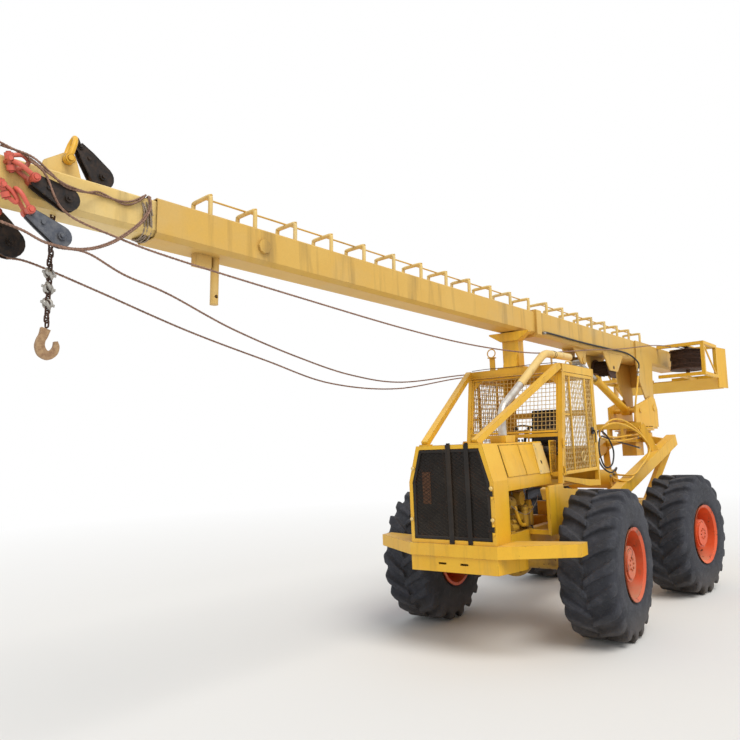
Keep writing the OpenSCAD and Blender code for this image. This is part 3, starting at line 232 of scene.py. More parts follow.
def enamel(name, tone, second, faded, chips=0.5, streaks=0.35, dust=0.5, corner_grime_and_shade=0.6, rough=0.42,
           radius=0.006, patch=9.0, blotch=1.3, coat=0.15):
    material, tree, shader = new_material(name)
    edge = add(tree, "ShaderNodeGroup", node_tree=edge_group)
    for key, value in (("Radius", radius), ("Patch Scale", patch), ("Amount", chips)):
        edge.inputs[key].default_value = value
    weather = add(tree, "ShaderNodeGroup", node_tree=weather_group)
    weather.inputs["Blotch Scale"].default_value = blotch
    out = weather.outputs
    colour = blend_colour(tree, scaled(tree, out["Blotch"], 0.38, 0.62), tone, second)
    colour = blend_colour(tree, scaled(tree, out["Blotch"], 0.52, 0.72, 0.0, 0.75), colour, faded)
    colour = blend_colour(tree, scaled(tree, out["Grain"], 0.3, 0.8, 0.0, 0.10), colour, GRIME_AND_SHADE)
    colour = blend_colour(tree, math_node(tree, "MULTIPLY", out["Streaks"], streaks), colour, GRIME_AND_SHADE)
    # painted shade with grime: darker in the corners and hollows that Ambient Occlusion finds
    colour = blend_colour(tree, math_node(tree, "MULTIPLY", out["Corners"], corner_grime_and_shade), colour, GRIME_AND_SHADE)
    colour = blend_colour(tree, math_node(tree, "MULTIPLY", out["Dust"], dust), colour, DUST)
    bare = blend_colour(tree, scaled(tree, out["Grain"], 0.35, 0.65), DEEP_RUST, RUST)
    colour = blend_colour(tree, edge.outputs["Mask"], colour, bare)
    tree.links.new(colour, shader.inputs["Base Color"])
    worn = scaled(tree, out["Blotch"], 0.3, 0.75, rough, rough + 0.2)
    worn = math_node(tree, "ADD", worn, math_node(tree, "MULTIPLY", edge.outputs["Mask"], 0.4))
    worn = math_node(tree, "ADD", worn, math_node(tree, "MULTIPLY", out["Dust"], 0.3))
    tree.links.new(worn, shader.inputs["Roughness"])
    shader.inputs["Coat Weight"].default_value = coat
    shader.inputs["Coat Roughness"].default_value = 0.25
    height = math_node(tree, "SUBTRACT", math_node(tree, "MULTIPLY", out["Grain"], 0.35), edge.outputs["Mask"])
    bump = add(tree, "ShaderNodeBump", {
        "Strength": 0.22, "Distance": 0.004, "Height": height, "Normal": edge.outputs["Normal"]})
    tree.links.new(bump.outputs[0], shader.inputs["Normal"])
    return material


yellow = enamel("yellow_enamel", rgb(0.88, 0.50, 0.020), rgb(0.83, 0.43, 0.018), rgb(0.90, 0.58, 0.08), chips=0.32,
                streaks=0.28)
faded = enamel("faded_enamel", rgb(0.76, 0.47, 0.10), rgb(0.72, 0.42, 0.075), rgb(0.70, 0.50, 0.20),
               chips=0.24, streaks=0.45, rough=0.5, blotch=0.9)
cream = enamel("cream_enamel", rgb(0.85, 0.62, 0.24), rgb(0.84, 0.55, 0.13), rgb(0.82, 0.66, 0.36),
               chips=0.30, streaks=0.4, rough=0.48)
orange = enamel("orange_enamel", rgb(0.80, 0.105, 0.018), rgb(0.72, 0.082, 0.015), rgb(0.82, 0.22, 0.07),
                chips=0.44, streaks=0.5, dust=0.7, corner_grime_and_shade=0.8, patch=14.0)
worn_orange = enamel("worn_orange", rgb(0.76, 0.10, 0.020), rgb(0.60, 0.075, 0.018), rgb(0.70, 0.20, 0.08),
                     chips=0.50, streaks=0.9, dust=0.7, corner_grime_and_shade=1.0, patch=7.0)
engine_paint = enamel("engine_enamel", rgb(0.62, 0.36, 0.03), rgb(0.50, 0.27, 0.02), rgb(0.55, 0.38, 0.12),
                      chips=0.48, streaks=0.7, dust=0.8, corner_grime_and_shade=1.0, rough=0.5, patch=16.0)
tan_wire = enamel("tan_wire", rgb(0.80, 0.56, 0.19), rgb(0.70, 0.45, 0.14), rgb(0.74, 0.60, 0.36), chips=0.35, dust=0.3,
                  radius=0.002, patch=40.0)
black_paint = enamel("black_enamel", rgb(0.012, 0.011, 0.011), rgb(0.018, 0.016, 0.015), rgb(0.05, 0.045, 0.04),
                     chips=0.26, streaks=0.25, dust=0.35, corner_grime_and_shade=0.2, rough=0.6)
black_paint.node_tree.nodes["Principled BSDF"].inputs["Specular IOR Level"].default_value = 0.2
red_paint = enamel("red_enamel", rgb(0.78, 0.15, 0.10), rgb(0.70, 0.11, 0.07), rgb(0.80, 0.28, 0.20),
                   chips=0.42, dust=0.3, patch=30.0, radius=0.003)
print("enamels ready")

# %% [markdown]
# ## Bare metals, rubber and cloth
# Tyres are dark grey with brown dust in the tread; ropes and blocks are rusty iron; rods are ground
# steel; the seat is cracked black vinyl. Each is a short tree of its own, since little is shared.

# %% Other finishes
def plain(name, tone, second, rough, metallic=0.0, scale=14.0, bump=0.3, dust=0.0, distance=0.003, streak=1.0):
    """A two-tone finish with noise in colour, roughness and height, and dust on what faces up."""
    material, tree, shader = new_material(name)
    place = add(tree, "ShaderNodeTexCoord").outputs["Object"]
    place = add(tree, "ShaderNodeMapping", {"Vector": place, "Scale": (1, 1, streak)}).outputs[0]
    coarse = noise(tree, place, scale, 5.0, 0.65)
    fine = noise(tree, place, scale * 7, 4.0, 0.6)
    weather = add(tree, "ShaderNodeGroup", node_tree=weather_group)
    colour = blend_colour(tree, scaled(tree, coarse, 0.38, 0.64), tone, second)
    colour = blend_colour(tree, math_node(tree, "MULTIPLY", weather.outputs["Dust"], dust), colour, DUST)
    # painted shade with grime: darker in the corners and hollows that Ambient Occlusion finds
    colour = blend_colour(tree, math_node(tree, "MULTIPLY", weather.outputs["Corners"], 0.5), colour, GRIME_AND_SHADE)
    tree.links.new(colour, shader.inputs["Base Color"])
    tree.links.new(scaled(tree, fine, 0.3, 0.7, rough - 0.1, rough + 0.12), shader.inputs["Roughness"])
    shader.inputs["Metallic"].default_value = metallic
    height = math_node(tree, "ADD", math_node(tree, "MULTIPLY", coarse, 0.6), math_node(tree, "MULTIPLY", fine, 0.4))
    made = add(tree, "ShaderNodeBump", {"Strength": bump, "Distance": distance, "Height": height})
    tree.links.new(made.outputs[0], shader.inputs["Normal"])
    return material


steel = plain("ground_steel", rgb(0.52, 0.51, 0.49), rgb(0.42, 0.40, 0.37), 0.3, metallic=1.0, scale=20, bump=0.1)
zinc = plain("dull_zinc", rgb(0.50, 0.49, 0.46), rgb(0.36, 0.33, 0.29), 0.45, metallic=0.8, scale=30)
rope_iron = plain("rusty_rope", rgb(0.105, 0.050, 0.032), rgb(0.052, 0.028, 0.022), 0.72, metallic=0.3, scale=60)
dark_iron = plain("dark_iron", rgb(0.022, 0.021, 0.022), rgb(0.055, 0.038, 0.030), 0.5, metallic=0.6, scale=25)
rusty_iron = plain("rusty_iron", rgb(0.17, 0.075, 0.035), rgb(0.085, 0.035, 0.02), 0.8, metallic=0.2, scale=25)
slate_iron = plain("slate_iron", rgb(0.085, 0.095, 0.12), rgb(0.16, 0.165, 0.18), 0.5, metallic=0.5, scale=25)
hook_iron = plain("hook_iron", rgb(0.46, 0.30, 0.16), rgb(0.30, 0.17, 0.09), 0.65, metallic=0.2, scale=35)
sleeve_metal = plain("sleeve_metal", rgb(0.66, 0.64, 0.60), rgb(0.50, 0.47, 0.42), 0.4, metallic=0.6, scale=9)
strand = plain("wire_strand", rgb(0.40, 0.235, 0.165), rgb(0.20, 0.105, 0.070), 0.62, metallic=0.15, scale=45)
pale_strand = plain("pale_strand", rgb(0.50, 0.41, 0.31), rgb(0.30, 0.21, 0.15), 0.6, metallic=0.15, scale=45)
hose_rubber = plain("hose_rubber", rgb(0.016, 0.016, 0.017), rgb(0.035, 0.032, 0.03), 0.55, scale=30, dust=0.4)
vinyl = plain("cracked_vinyl", rgb(0.014, 0.013, 0.013), rgb(0.03, 0.027, 0.025), 0.5, scale=40, bump=0.5, dust=0.5)


def tread_rubber():
    """Tyre rubber: grey black, browner and dustier on the tread, with fine cracks."""
    material, tree, shader = new_material("tyre_rubber")
    place = add(tree, "ShaderNodeTexCoord").outputs["Object"]
    coarse = noise(tree, place, 3.5, 5.0, 0.65)
    fine = noise(tree, place, 60.0, 5.0, 0.7)
    cracks = add(tree, "ShaderNodeTexVoronoi", {"Vector": place, "Scale": 42.0}, feature="DISTANCE_TO_EDGE")
    weather = add(tree, "ShaderNodeGroup", node_tree=weather_group)
    edge = add(tree, "ShaderNodeGroup", node_tree=edge_group)
    edge.inputs["Radius"].default_value = 0.012
    edge.inputs["Amount"].default_value = 0.62
    edge.inputs["Patch Scale"].default_value = 12.0
    colour = blend_colour(tree, scaled(tree, coarse, 0.36, 0.66), rgb(0.017, 0.019, 0.026), rgb(0.036, 0.038, 0.050))
    rubbed = math_node(tree, "MULTIPLY", edge.outputs["Mask"], 0.28)
    colour = blend_colour(tree, rubbed, colour, rgb(0.075, 0.078, 0.092))
    colour = blend_colour(tree, math_node(tree, "MULTIPLY", weather.outputs["Corners"], 0.75), colour,
                          rgb(0.050, 0.045, 0.042))
    dusty = math_node(tree, "MULTIPLY", weather.outputs["Dust"], 0.12)
    colour = blend_colour(tree, dusty, colour, rgb(0.20, 0.18, 0.16))
    low = add(tree, "ShaderNodeSeparateXYZ", {0: place}).outputs[2]
    mud = math_node(tree, "MULTIPLY", scaled(tree, low, 0.42, 0.0), scaled(tree, fine, 0.35, 0.65))
    colour = blend_colour(tree, math_node(tree, "MULTIPLY", mud, 0.7), colour, rgb(0.20, 0.16, 0.12))
    tree.links.new(colour, shader.inputs["Base Color"])
    tree.links.new(scaled(tree, fine, 0.3, 0.7, 0.62, 0.9), shader.inputs["Roughness"])
    height = math_node(tree, "ADD", math_node(tree, "MULTIPLY", coarse, 0.6),
                       math_node(tree, "MULTIPLY", scaled(tree, cracks.outputs["Distance"], 0.0, 0.08), 0.25))
    made = add(tree, "ShaderNodeBump", {
        "Strength": 0.45, "Distance": 0.012, "Height": height, "Normal": edge.outputs["Normal"]})
    tree.links.new(made.outputs[0], shader.inputs["Normal"])
    return material


tyre_rubber = tread_rubber()
print("materials:", len(bpy.data.materials))

# %% [markdown]
# ## Finishes of the CAD nodes
# Each CAD node keeps its mesh and gets one of the finishes. The table reads finish by finish.

# %% Give the nodes their finishes
FINISH = (
    (yellow, "yellow_paint", "front_chassis nose_frame hood bumper side_tanks cab_frame cab_roof front_screen "
     "left_door right_door sweep_bars boom_cradle rear_chassis gooseneck slew_base reservoir turret tail_cage "
     "steer_barrel_left steer_barrel_right luff_barrel"),
    (engine_paint, "engine_paint", "front_axle rear_axle engine"),
    (faded, "faded_paint", "boom_base boom_mid"),
    (cream, "cream_paint", "boom_tip"),
    (cream, "cream_paint", "exhaust"),
    (black_paint, "black_paint", "radiator grille_door"),
    (orange, "orange_paint", "rim_front_right rim_rear_left rim_rear_right"),
    (worn_orange, "orange_paint", "rim_front_left"),
    (tyre_rubber, "tyre_rubber", "tyre_front_left tyre_front_right tyre_rear_left tyre_rear_right"),
    (steel, "bright_rod", "steer_rod_left steer_rod_right luff_rod"),
    (rope_iron, "rusty_rope", "reel_left reel_right winch_drum"),
    (dark_iron, "dark_iron", "tip_tackle"),
    (vinyl, "seat_cover", "seat"),
)
for material, _, names in FINISH:
    for name in names.split():
        for slot in nodes[name].material_slots:
            slot.material = material
print("finished nodes:", sum(len(row[2].split()) for row in FINISH))

# %% [markdown]
# ## A piece maker
# Most small pieces are a few shapes of one finish: plates, rods, tubes and turned parts with slightly
# rounded edges. `Piece` gathers such shapes in one mesh, in the axes of the part that carries them, and
# `done` turns it into an object that rides on a body of the CAD model.

# %% Piece maker
SHARP = math.radians(32)


def smooth_path(points, steps=6):
    """Points of a Catmull-Rom curve through the given points."""
    points = [Vector(p) for p in points]
    if len(points) < 3:
        return points
    ends = [2 * points[0] - points[1]] + points + [2 * points[-1] - points[-2]]
    made = []
    for i in range(1, len(ends) - 2):
        a, b, c, d = ends[i - 1:i + 3]
        for k in range(steps):
            t = k / steps
            made.append(0.5 * (2 * b + (c - a) * t + (2 * a - 5 * b + 4 * c - d) * t * t
                               + (3 * b - a - 3 * c + d) * t * t * t))
    return made + [points[-1]]


def along(start, end):
    """Matrix whose Z runs from start to end."""
    run = Vector(end) - Vector(start)
    return Matrix.Translation(start) @ run.to_track_quat("Z", "Y").to_matrix().to_4x4()


def object_of(mesh, name, body, material=None, smooth=True):
    """An object at the origin that rides on a body, unless that is left empty."""
    if material is not None:
        mesh.materials.clear()
        mesh.materials.append(material)
    if smooth:
        mesh.polygons.foreach_set("use_smooth", [True] * len(mesh.polygons))
        mesh.set_sharp_from_angle(angle=SHARP)
    made = bpy.data.objects.new(name, mesh)
    bpy.context.collection.objects.link(made)
    if body:
        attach(made, body)
    return made


class Piece:
    """One mesh of one finish on one body, gathered from several shapes."""

    def __init__(self, name, body, material, place=GROUND, slot=None):
        self.name, self.body, self.material, self.place, self.slot = name, body, material, place, slot
        self.whole = bmesh.new()

    def take(self, part, width=0.0, segments=2):
        if width:
            sharp = [e for e in part.edges if e.is_manifold and e.calc_face_angle(0) > 0.5]
            bmesh.ops.bevel(part, geom=sharp, offset=width, segments=segments, profile=0.6,
                            affect="EDGES", clamp_overlap=True)
        part.transform(self.place)
        if self.place.determinant() < 0:
            bmesh.ops.reverse_faces(part, faces=part.faces)
        holder = bpy.data.meshes.new("holder")
        part.to_mesh(holder)
        part.free()
        self.whole.from_mesh(holder)
        bpy.data.meshes.remove(holder)
        return self

    def box(self, low, high, width=0.004, turn=None):
        """A box between two corners; turn is a matrix about its own middle."""
        low, high = Vector(low), Vector(high)
        part = bmesh.new()
        bmesh.ops.create_cube(part, size=1.0)
        part.transform(Matrix.Diagonal((*(high - low), 1)))
        if turn is not None:
            part.transform(turn)
        part.transform(Matrix.Translation((low + high) / 2))
        return self.take(part, width)

    def slab(self, outline, thickness, face, width=0.003):
        """An outline in the XY plane of the matrix face, pushed along its Z."""
        part = bmesh.new()
        ring = [part.verts.new((x, y, 0)) for x, y in outline]
        bottom = part.faces.new(ring)
        grown = bmesh.ops.extrude_face_region(part, geom=[bottom])
        lifted = [v for v in grown["geom"] if isinstance(v, bmesh.types.BMVert)]
        bmesh.ops.translate(part, vec=(0, 0, thickness), verts=lifted)
        bmesh.ops.recalc_face_normals(part, faces=part.faces)
        part.transform(face)
        return self.take(part, width)

    def rod(self, start, end, radius, sides=24, width=0.002, end_radius=None):
        start, end = Vector(start), Vector(end)
        part = bmesh.new()
        bmesh.ops.create_cone(part, cap_ends=True, segments=sides, radius1=radius,
                              radius2=radius if end_radius is None else end_radius, depth=(end - start).length)
        part.transform(along((start + end) / 2, end + (end - start)))
        return self.take(part, width)

    def turned(self, profile, start, end, sides=32, width=0.0):
        """A turned part; profile is (height, radius) from start towards end, closed on its axis."""
        part = bmesh.new()
        rings = []
        for height, radius in profile:
            rings.append([part.verts.new((radius * math.cos(a), radius * math.sin(a), height))
                          for a in (2 * math.pi * k / sides for k in range(sides))])
        for low, high in zip(rings, rings[1:]):
            for k in range(sides):
                part.faces.new((low[k], low[(k + 1) % sides], high[(k + 1) % sides], high[k]))
        part.faces.new(list(reversed(rings[0])))
        part.faces.new(rings[-1])
        part.transform(along(start, end))
        return self.take(part, width)

    def ring(self, centre, axis, major, minor, sides=40, around=12):
        part = bmesh.new()
        rows = []
        for i in range(sides):
            a = 2 * math.pi * i / sides
            rows.append([part.verts.new(((major + minor * math.cos(b)) * math.cos(a),
                                         (major + minor * math.cos(b)) * math.sin(a), minor * math.sin(b)))
                         for b in (2 * math.pi * k / around for k in range(around))])
        for i in range(sides):
            near, far = rows[i], rows[(i + 1) % sides]
            for k in range(around):
                part.faces.new((near[k], far[k], far[(k + 1) % around], near[(k + 1) % around]))
        part.transform(along(centre, Vector(centre) + Vector(axis)))
        return self.take(part)

    def tube(self, points, radius, sides=12, steps=6):
        """A round tube along a smooth path, with closed ends."""
        path = smooth_path(points, steps)
        part = bmesh.new()
        rings, side = [], None
        for i, point in enumerate(path):
            ahead = (path[min(i + 1, len(path) - 1)] - path[max(i - 1, 0)]).normalized()
            if side is None:
                side = ahead.orthogonal().normalized()
            side = (side - ahead * side.dot(ahead)).normalized()
            third = ahead.cross(side)
            rings.append([part.verts.new(point + radius * (math.cos(a) * side + math.sin(a) * third))
                          for a in (2 * math.pi * k / sides for k in range(sides))])
        for near, far in zip(rings, rings[1:]):
            for k in range(sides):
                part.faces.new((near[k], near[(k + 1) % sides], far[(k + 1) % sides], far[k]))
        part.faces.new(list(reversed(rings[0])))
        part.faces.new(rings[-1])
        return self.take(part)

    def done(self):
        mesh = bpy.data.meshes.new(self.name)
        self.whole.to_mesh(mesh)
        self.whole.free()
        made = object_of(mesh, self.name, self.body, self.material)
        print(self.name, "on", self.body, len(mesh.polygons), "faces")
        return made


# %% [markdown]
# ## Geometry Nodes helpers
# What repeats is grown by node trees: bolts on a list of seats, strands along a rope's route, wires of
# a screen, lugs round a tyre. `new_tree` makes a tree with named inputs, and `grown` runs a tree on a
# mesh and keeps the result as a plain mesh, so the pieces it grows carry no modifier.

# %% Geometry Nodes helpers
def new_tree(name, inputs):
    tree = bpy.data.node_groups.new(name, "GeometryNodeTree")
    tree.interface.new_socket(name="Geometry", in_out="INPUT", socket_type="NodeSocketGeometry")
    for kind, title, value in inputs:
        socket = tree.interface.new_socket(name=title, in_out="INPUT", socket_type=kind)
        if value is not None:
            socket.default_value = value
    tree.interface.new_socket(name="Material", in_out="INPUT", socket_type="NodeSocketMaterial")
    tree.interface.new_socket(name="Geometry", in_out="OUTPUT", socket_type="NodeSocketGeometry")
    return tree, tree.nodes.new("NodeGroupInput").outputs


def close_tree(tree, geometry, inputs, shade=True):
    """Ends a tree in Realize Instances and Set Material."""
    real = add(tree, "GeometryNodeRealizeInstances", {"Geometry": geometry})
    smooth = add(tree, "GeometryNodeSetShadeSmooth", {"Geometry": real.outputs[0], "Shade Smooth": shade})
    coat = add(tree, "GeometryNodeSetMaterial", {"Geometry": smooth.outputs[0], "Material": inputs["Material"]})
    tree.links.new(coat.outputs[0], tree.nodes.new("NodeGroupOutput").inputs[0])


def grown(tree, base, material, **values):
    """The plain mesh that a tree grows from the base mesh."""
    host = bpy.data.objects.new("host", base)
    bpy.context.collection.objects.link(host)
    modifier = host.modifiers.new("nodes", "NODES")
    modifier.node_group = tree
    values["Material"] = material
    for item in tree.interface.items_tree:
        title = item.name.replace(" ", "_")
        if item.in_out == "INPUT" and title in values:
            modifier[item.identifier] = values[title]
    seen = host.evaluated_get(bpy.context.evaluated_depsgraph_get())
    mesh = bpy.data.meshes.new_from_object(seen)
    bpy.data.objects.remove(host)
    return mesh


def line_mesh(points):
    mesh = bpy.data.meshes.new("line")
    mesh.from_pydata([tuple(p) for p in points], [(i, i + 1) for i in range(len(points) - 1)], [])
    return mesh


# %% Bolt tree: a hexagon head on a washer at every seat
bolt_tree, inputs = new_tree("bolts", [(FLOAT, "Radius", 0.012), (FLOAT, "Height", 0.009)])
tree = bolt_tree
head = add(tree, "GeometryNodeMeshCylinder", {"Vertices": 6, "Radius": inputs["Radius"], "Depth": inputs["Height"]})
lifted = add(tree, "GeometryNodeTransform", {0: head.outputs[0], "Translation": add(
    tree, "ShaderNodeCombineXYZ", {2: math_node(tree, "MULTIPLY", inputs["Height"], 0.6)}).outputs[0]})
washer = add(tree, "GeometryNodeMeshCylinder", {
    "Vertices": 16, "Radius": add(tree, "ShaderNodeMath", {0: inputs["Radius"], 1: 1.55},
        operation="MULTIPLY").outputs[0],
    "Depth": add(tree, "ShaderNodeMath", {0: inputs["Height"], 1: 0.4}, operation="MULTIPLY").outputs[0]})
joined = add(tree, "GeometryNodeJoinGeometry")
tree.links.new(lifted.outputs[0], joined.inputs[0])
tree.links.new(washer.outputs[0], joined.inputs[0])
facing = add(tree, "GeometryNodeInputNamedAttribute", {"Name": "facing"}, data_type="FLOAT_VECTOR")
turned = add(tree, "FunctionNodeAlignRotationToVector", {"Vector": facing.outputs[0]}, axis="Z")
spread = add(tree, "GeometryNodeInstanceOnPoints", {
    "Points": inputs["Geometry"], "Instance": joined.outputs[0], "Rotation": turned.outputs[0]})
close_tree(tree, spread.outputs[0], inputs, shade=False)


def bolts(name, body, seats, radius=0.012, height=0.009, place=GROUND, material=None):
    """Bolts on seats, each (point, direction it faces) in the axes of place."""
    base = bpy.data.meshes.new("seats")
    base.from_pydata([tuple(place @ Vector(p)) for p, _ in seats], [], [])
    facing = base.attributes.new("facing", "FLOAT_VECTOR", "POINT")
    turn = place.to_3x3()
    facing.data.foreach_set("vector", [v for _, d in seats for v in (turn @ Vector(d)).normalized()])
    mesh = grown(bolt_tree, base, material or yellow, Radius=radius, Height=height)
    made = object_of(mesh, name, body, smooth=False)
    print(name, "on", body, len(seats), "bolts")
    return made


# %% Rope tree: a lobed section that turns as it goes
rope_tree, inputs = new_tree("rope", [(FLOAT, "Radius", 0.006), (FLOAT, "Lay", 0.09), (FLOAT, "Step", 0.02)])
tree = rope_tree
curve = add(tree, "GeometryNodeMeshToCurve", {"Mesh": inputs["Geometry"]})
even = add(tree, "GeometryNodeResampleCurve", {"Curve": curve.outputs[0], "Length": inputs["Step"]}, mode="LENGTH")
turns = add(tree, "ShaderNodeMath", {
    0: add(tree, "GeometryNodeSplineParameter").outputs["Length"], 1: inputs["Lay"]}, operation="DIVIDE").outputs[0]
tilt = add(tree, "ShaderNodeMath", {0: turns, 1: 2 * math.pi}, operation="MULTIPLY").outputs[0]
twisted = add(tree, "GeometryNodeSetCurveTilt", {"Curve": even.outputs[0], "Tilt": tilt})
star = add(tree, "GeometryNodeCurveStar", {
    "Points": 6, "Outer Radius": inputs["Radius"],
    "Inner Radius": add(tree, "ShaderNodeMath", {0: inputs["Radius"], 1: 0.74}, operation="MULTIPLY").outputs[0]})
swept = add(tree, "GeometryNodeCurveToMesh", {
    "Curve": twisted.outputs[0], "Profile Curve": star.outputs[0], "Fill Caps": True})
close_tree(tree, swept.outputs[0], inputs)


def rope(name, body, points, radius=0.007, place=GROUND, material=None, step=0.02, lay=0.09):
    """A laid rope along a smooth path; returns its object and the path that it follows."""
    path = [place @ p for p in smooth_path(points, 10)]
    mesh = grown(rope_tree, line_mesh(path), material or strand, Radius=radius, Lay=lay, Step=step)
    made = object_of(mesh, name, body, smooth=False)
    print(name, "rope of", round(sum((b - a).length for a, b in zip(path, path[1:])), 2), "m")
    return made, path


# %% [markdown]
# ## Wire screens
# The cab's screens are woven from round wire: each wire passes over one neighbour and under the next.
# Rows of wires are laid by a tree, and a product of two cosines lifts and lowers them, with opposite
# signs for the two directions. Expanded metal is the same idea with flat strands that zigzag.

# %% Screen trees
def wires(tree, length, count, pitch, across, step):
    """Rows of straight wires as curves, along X, or along Y when across is set."""
    end = add(tree, "ShaderNodeCombineXYZ", {1 if across else 0: length}).outputs[0]
    wire = add(tree, "GeometryNodeCurvePrimitiveLine", {"End": end})
    wire = add(tree, "GeometryNodeResampleCurve", {"Curve": wire.outputs[0], "Length": step}, mode="LENGTH")
    offset = add(tree, "ShaderNodeCombineXYZ", {0 if across else 1: pitch}).outputs[0]
    rows = add(tree, "GeometryNodeMeshLine", {"Count": count, "Offset": offset})
    laid = add(tree, "GeometryNodeInstanceOnPoints", {"Points": rows.outputs[0], "Instance": wire.outputs[0]})
    return add(tree, "GeometryNodeRealizeInstances", {"Geometry": laid.outputs[0]}).outputs[0]


def wave(tree, value, pitch, function="COSINE"):
    turns = add(tree, "ShaderNodeMath", {0: value, 1: pitch}, operation="DIVIDE").outputs[0]
    turns = add(tree, "ShaderNodeMath", {0: turns, 1: math.pi}, operation="MULTIPLY").outputs[0]
    return add(tree, "ShaderNodeMath", {0: turns}, operation=function).outputs[0]


weave_tree, inputs = new_tree("woven_screen", [
    (FLOAT, "Width", 1.0), (FLOAT, "Height", 1.0), (FLOAT, "Pitch", 0.07), (FLOAT, "Wire", 0.004),
    ("NodeSocketInt", "Across", 12), ("NodeSocketInt", "Up", 12)])
tree = weave_tree
spot = add(tree, "ShaderNodeSeparateXYZ", {0: add(tree, "GeometryNodeInputPosition").outputs[0]}).outputs
quarter = add(tree, "ShaderNodeMath", {0: inputs["Pitch"], 1: 0.25}, operation="MULTIPLY").outputs[0]
section = add(tree, "GeometryNodeCurvePrimitiveCircle", {"Resolution": 7, "Radius": inputs["Wire"]})
joined = add(tree, "GeometryNodeJoinGeometry")
for across, length, count, sign in ((False, "Width", "Up", 1.0), (True, "Height", "Across", -1.0)):
    laid = wires(tree, inputs[length], inputs[count], inputs["Pitch"], across, quarter)
    lift = add(tree, "ShaderNodeMath", {0: wave(tree, spot[0], inputs["Pitch"]), 1: wave(tree, spot[1],
        inputs["Pitch"])},
               operation="MULTIPLY").outputs[0]
    lift = add(tree, "ShaderNodeMath", {0: lift, 1: inputs["Wire"]}, operation="MULTIPLY").outputs[0]
    lift = add(tree, "ShaderNodeMath", {0: lift, 1: sign}, operation="MULTIPLY").outputs[0]
    bent = add(tree, "GeometryNodeSetPosition", {
        "Geometry": laid, "Offset": add(tree, "ShaderNodeCombineXYZ", {2: lift}).outputs[0]})
    solid = add(tree, "GeometryNodeCurveToMesh", {
        "Curve": bent.outputs[0], "Profile Curve": section.outputs[0], "Fill Caps": True})
    tree.links.new(solid.outputs[0], joined.inputs[0])
close_tree(tree, joined.outputs[0], inputs)

lozenge_tree, inputs = new_tree("expanded_metal", [
    (FLOAT, "Width", 1.0), (FLOAT, "Half Long", 0.03), (FLOAT, "Short", 0.02), (FLOAT, "Strand", 0.004),
    ("NodeSocketInt", "Rows", 20)])
tree = lozenge_tree
spot = add(tree, "ShaderNodeSeparateXYZ", {0: add(tree, "GeometryNodeInputPosition").outputs[0]}).outputs
laid = wires(tree, inputs["Width"], inputs["Rows"], inputs["Short"], False, inputs["Half Long"])
sway = add(tree, "ShaderNodeMath", {0: wave(tree, spot[0], inputs["Half Long"]), 1: wave(tree, spot[1],
    inputs["Short"])},
           operation="MULTIPLY").outputs[0]
sway = add(tree, "ShaderNodeMath", {0: sway, 1: inputs["Short"]}, operation="MULTIPLY").outputs[0]
sway = add(tree, "ShaderNodeMath", {0: sway, 1: 0.5}, operation="MULTIPLY").outputs[0]
bent = add(tree, "GeometryNodeSetPosition", {
    "Geometry": laid, "Offset": add(tree, "ShaderNodeCombineXYZ", {1: sway}).outputs[0]})
section = add(tree, "GeometryNodeCurvePrimitiveQuadrilateral", {
    "Width": add(tree, "ShaderNodeMath", {0: inputs["Strand"], 1: 0.5}, operation="MULTIPLY").outputs[0],
    "Height": inputs["Strand"]})
solid = add(tree, "GeometryNodeCurveToMesh", {
    "Curve": bent.outputs[0], "Profile Curve": section.outputs[0], "Fill Caps": True})
close_tree(tree, solid.outputs[0], inputs, shade=False)


def trimmed(mesh, outline, centre):
    """Cuts a mesh in the XY plane to a convex outline, and closes the cut ends."""
    cut = bmesh.new()
    cut.from_mesh(mesh)
    count = len(outline)
    for i in range(count):
        a, b = Vector((*outline[i], 0)), Vector((*outline[(i + 1) % count], 0))
        normal = Vector((b.y - a.y, a.x - b.x, 0))
        if (Vector((*centre, 0)) - a).dot(normal) > 0:
            normal.negate()
        result = bmesh.ops.bisect_plane(cut, geom=cut.verts[:] + cut.edges[:] + cut.faces[:], plane_co=a,
                                        plane_no=normal, clear_outer=True)
        rim = [e for e in result["geom_cut"] if isinstance(e, bmesh.types.BMEdge)]
        bmesh.ops.edgenet_fill(cut, edges=rim)
    cut.to_mesh(mesh)
    cut.free()
    return mesh


print("trees:", len([g for g in bpy.data.node_groups if g.bl_idname == "GeometryNodeTree"]))

# %% [markdown]
# ## Tyres
# These are wide forestry tyres, worn smooth: the lugs are low rounded bars that run from the middle to
# the shoulder in a chevron. The carcass is turned from its section, a node tree sets one lug round it,
# and a fine remesh with some smoothing melts the two together as moulded and worn rubber is.

# %% Lug tree and the tyre's section
TYRE_R, TYRE_HALF, LUG_COUNT, BEAD_R = 0.89, 0.35, 20, 0.4074
AXLE_Z = 0.89
lug_tree, inputs = new_tree("lugs", [("NodeSocketInt", "Count", LUG_COUNT), (FLOAT, "Phase", 0.0)])
tree = lug_tree
row = add(tree, "GeometryNodeMeshLine", {"Count": inputs["Count"], "Offset": (0.0, 0.0, 0.0)})
share = add(tree, "ShaderNodeMath", {
    0: add(tree, "ShaderNodeMath", {0: add(tree, "GeometryNodeInputIndex").outputs[0], 1: inputs["Phase"]}).outputs[0],
    1: inputs["Count"]}, operation="DIVIDE").outputs[0]
angle = add(tree, "ShaderNodeMath", {0: share, 1: 2 * math.pi}, operation="MULTIPLY").outputs[0]
ring = add(tree, "GeometryNodeInstanceOnPoints", {
    "Points": row.outputs[0], "Instance": inputs["Geometry"],
    "Rotation": add(tree, "ShaderNodeCombineXYZ", {2: angle}).outputs[0]})
close_tree(tree, ring.outputs[0], inputs)

# half of the outer section, from the bead to the crown; columns: radius, half width
OUTER = ((0.4074, 0.290), (0.430, 0.306), (0.452, 0.318), (0.475, 0.333), (0.505, 0.344), (0.56, 0.3495),
         (0.62, 0.350), (0.69, 0.346), (0.745, 0.334), (0.780, 0.312), (0.802, 0.28), (0.818, 0.235),
         (0.829, 0.16), (0.834, 0.08))
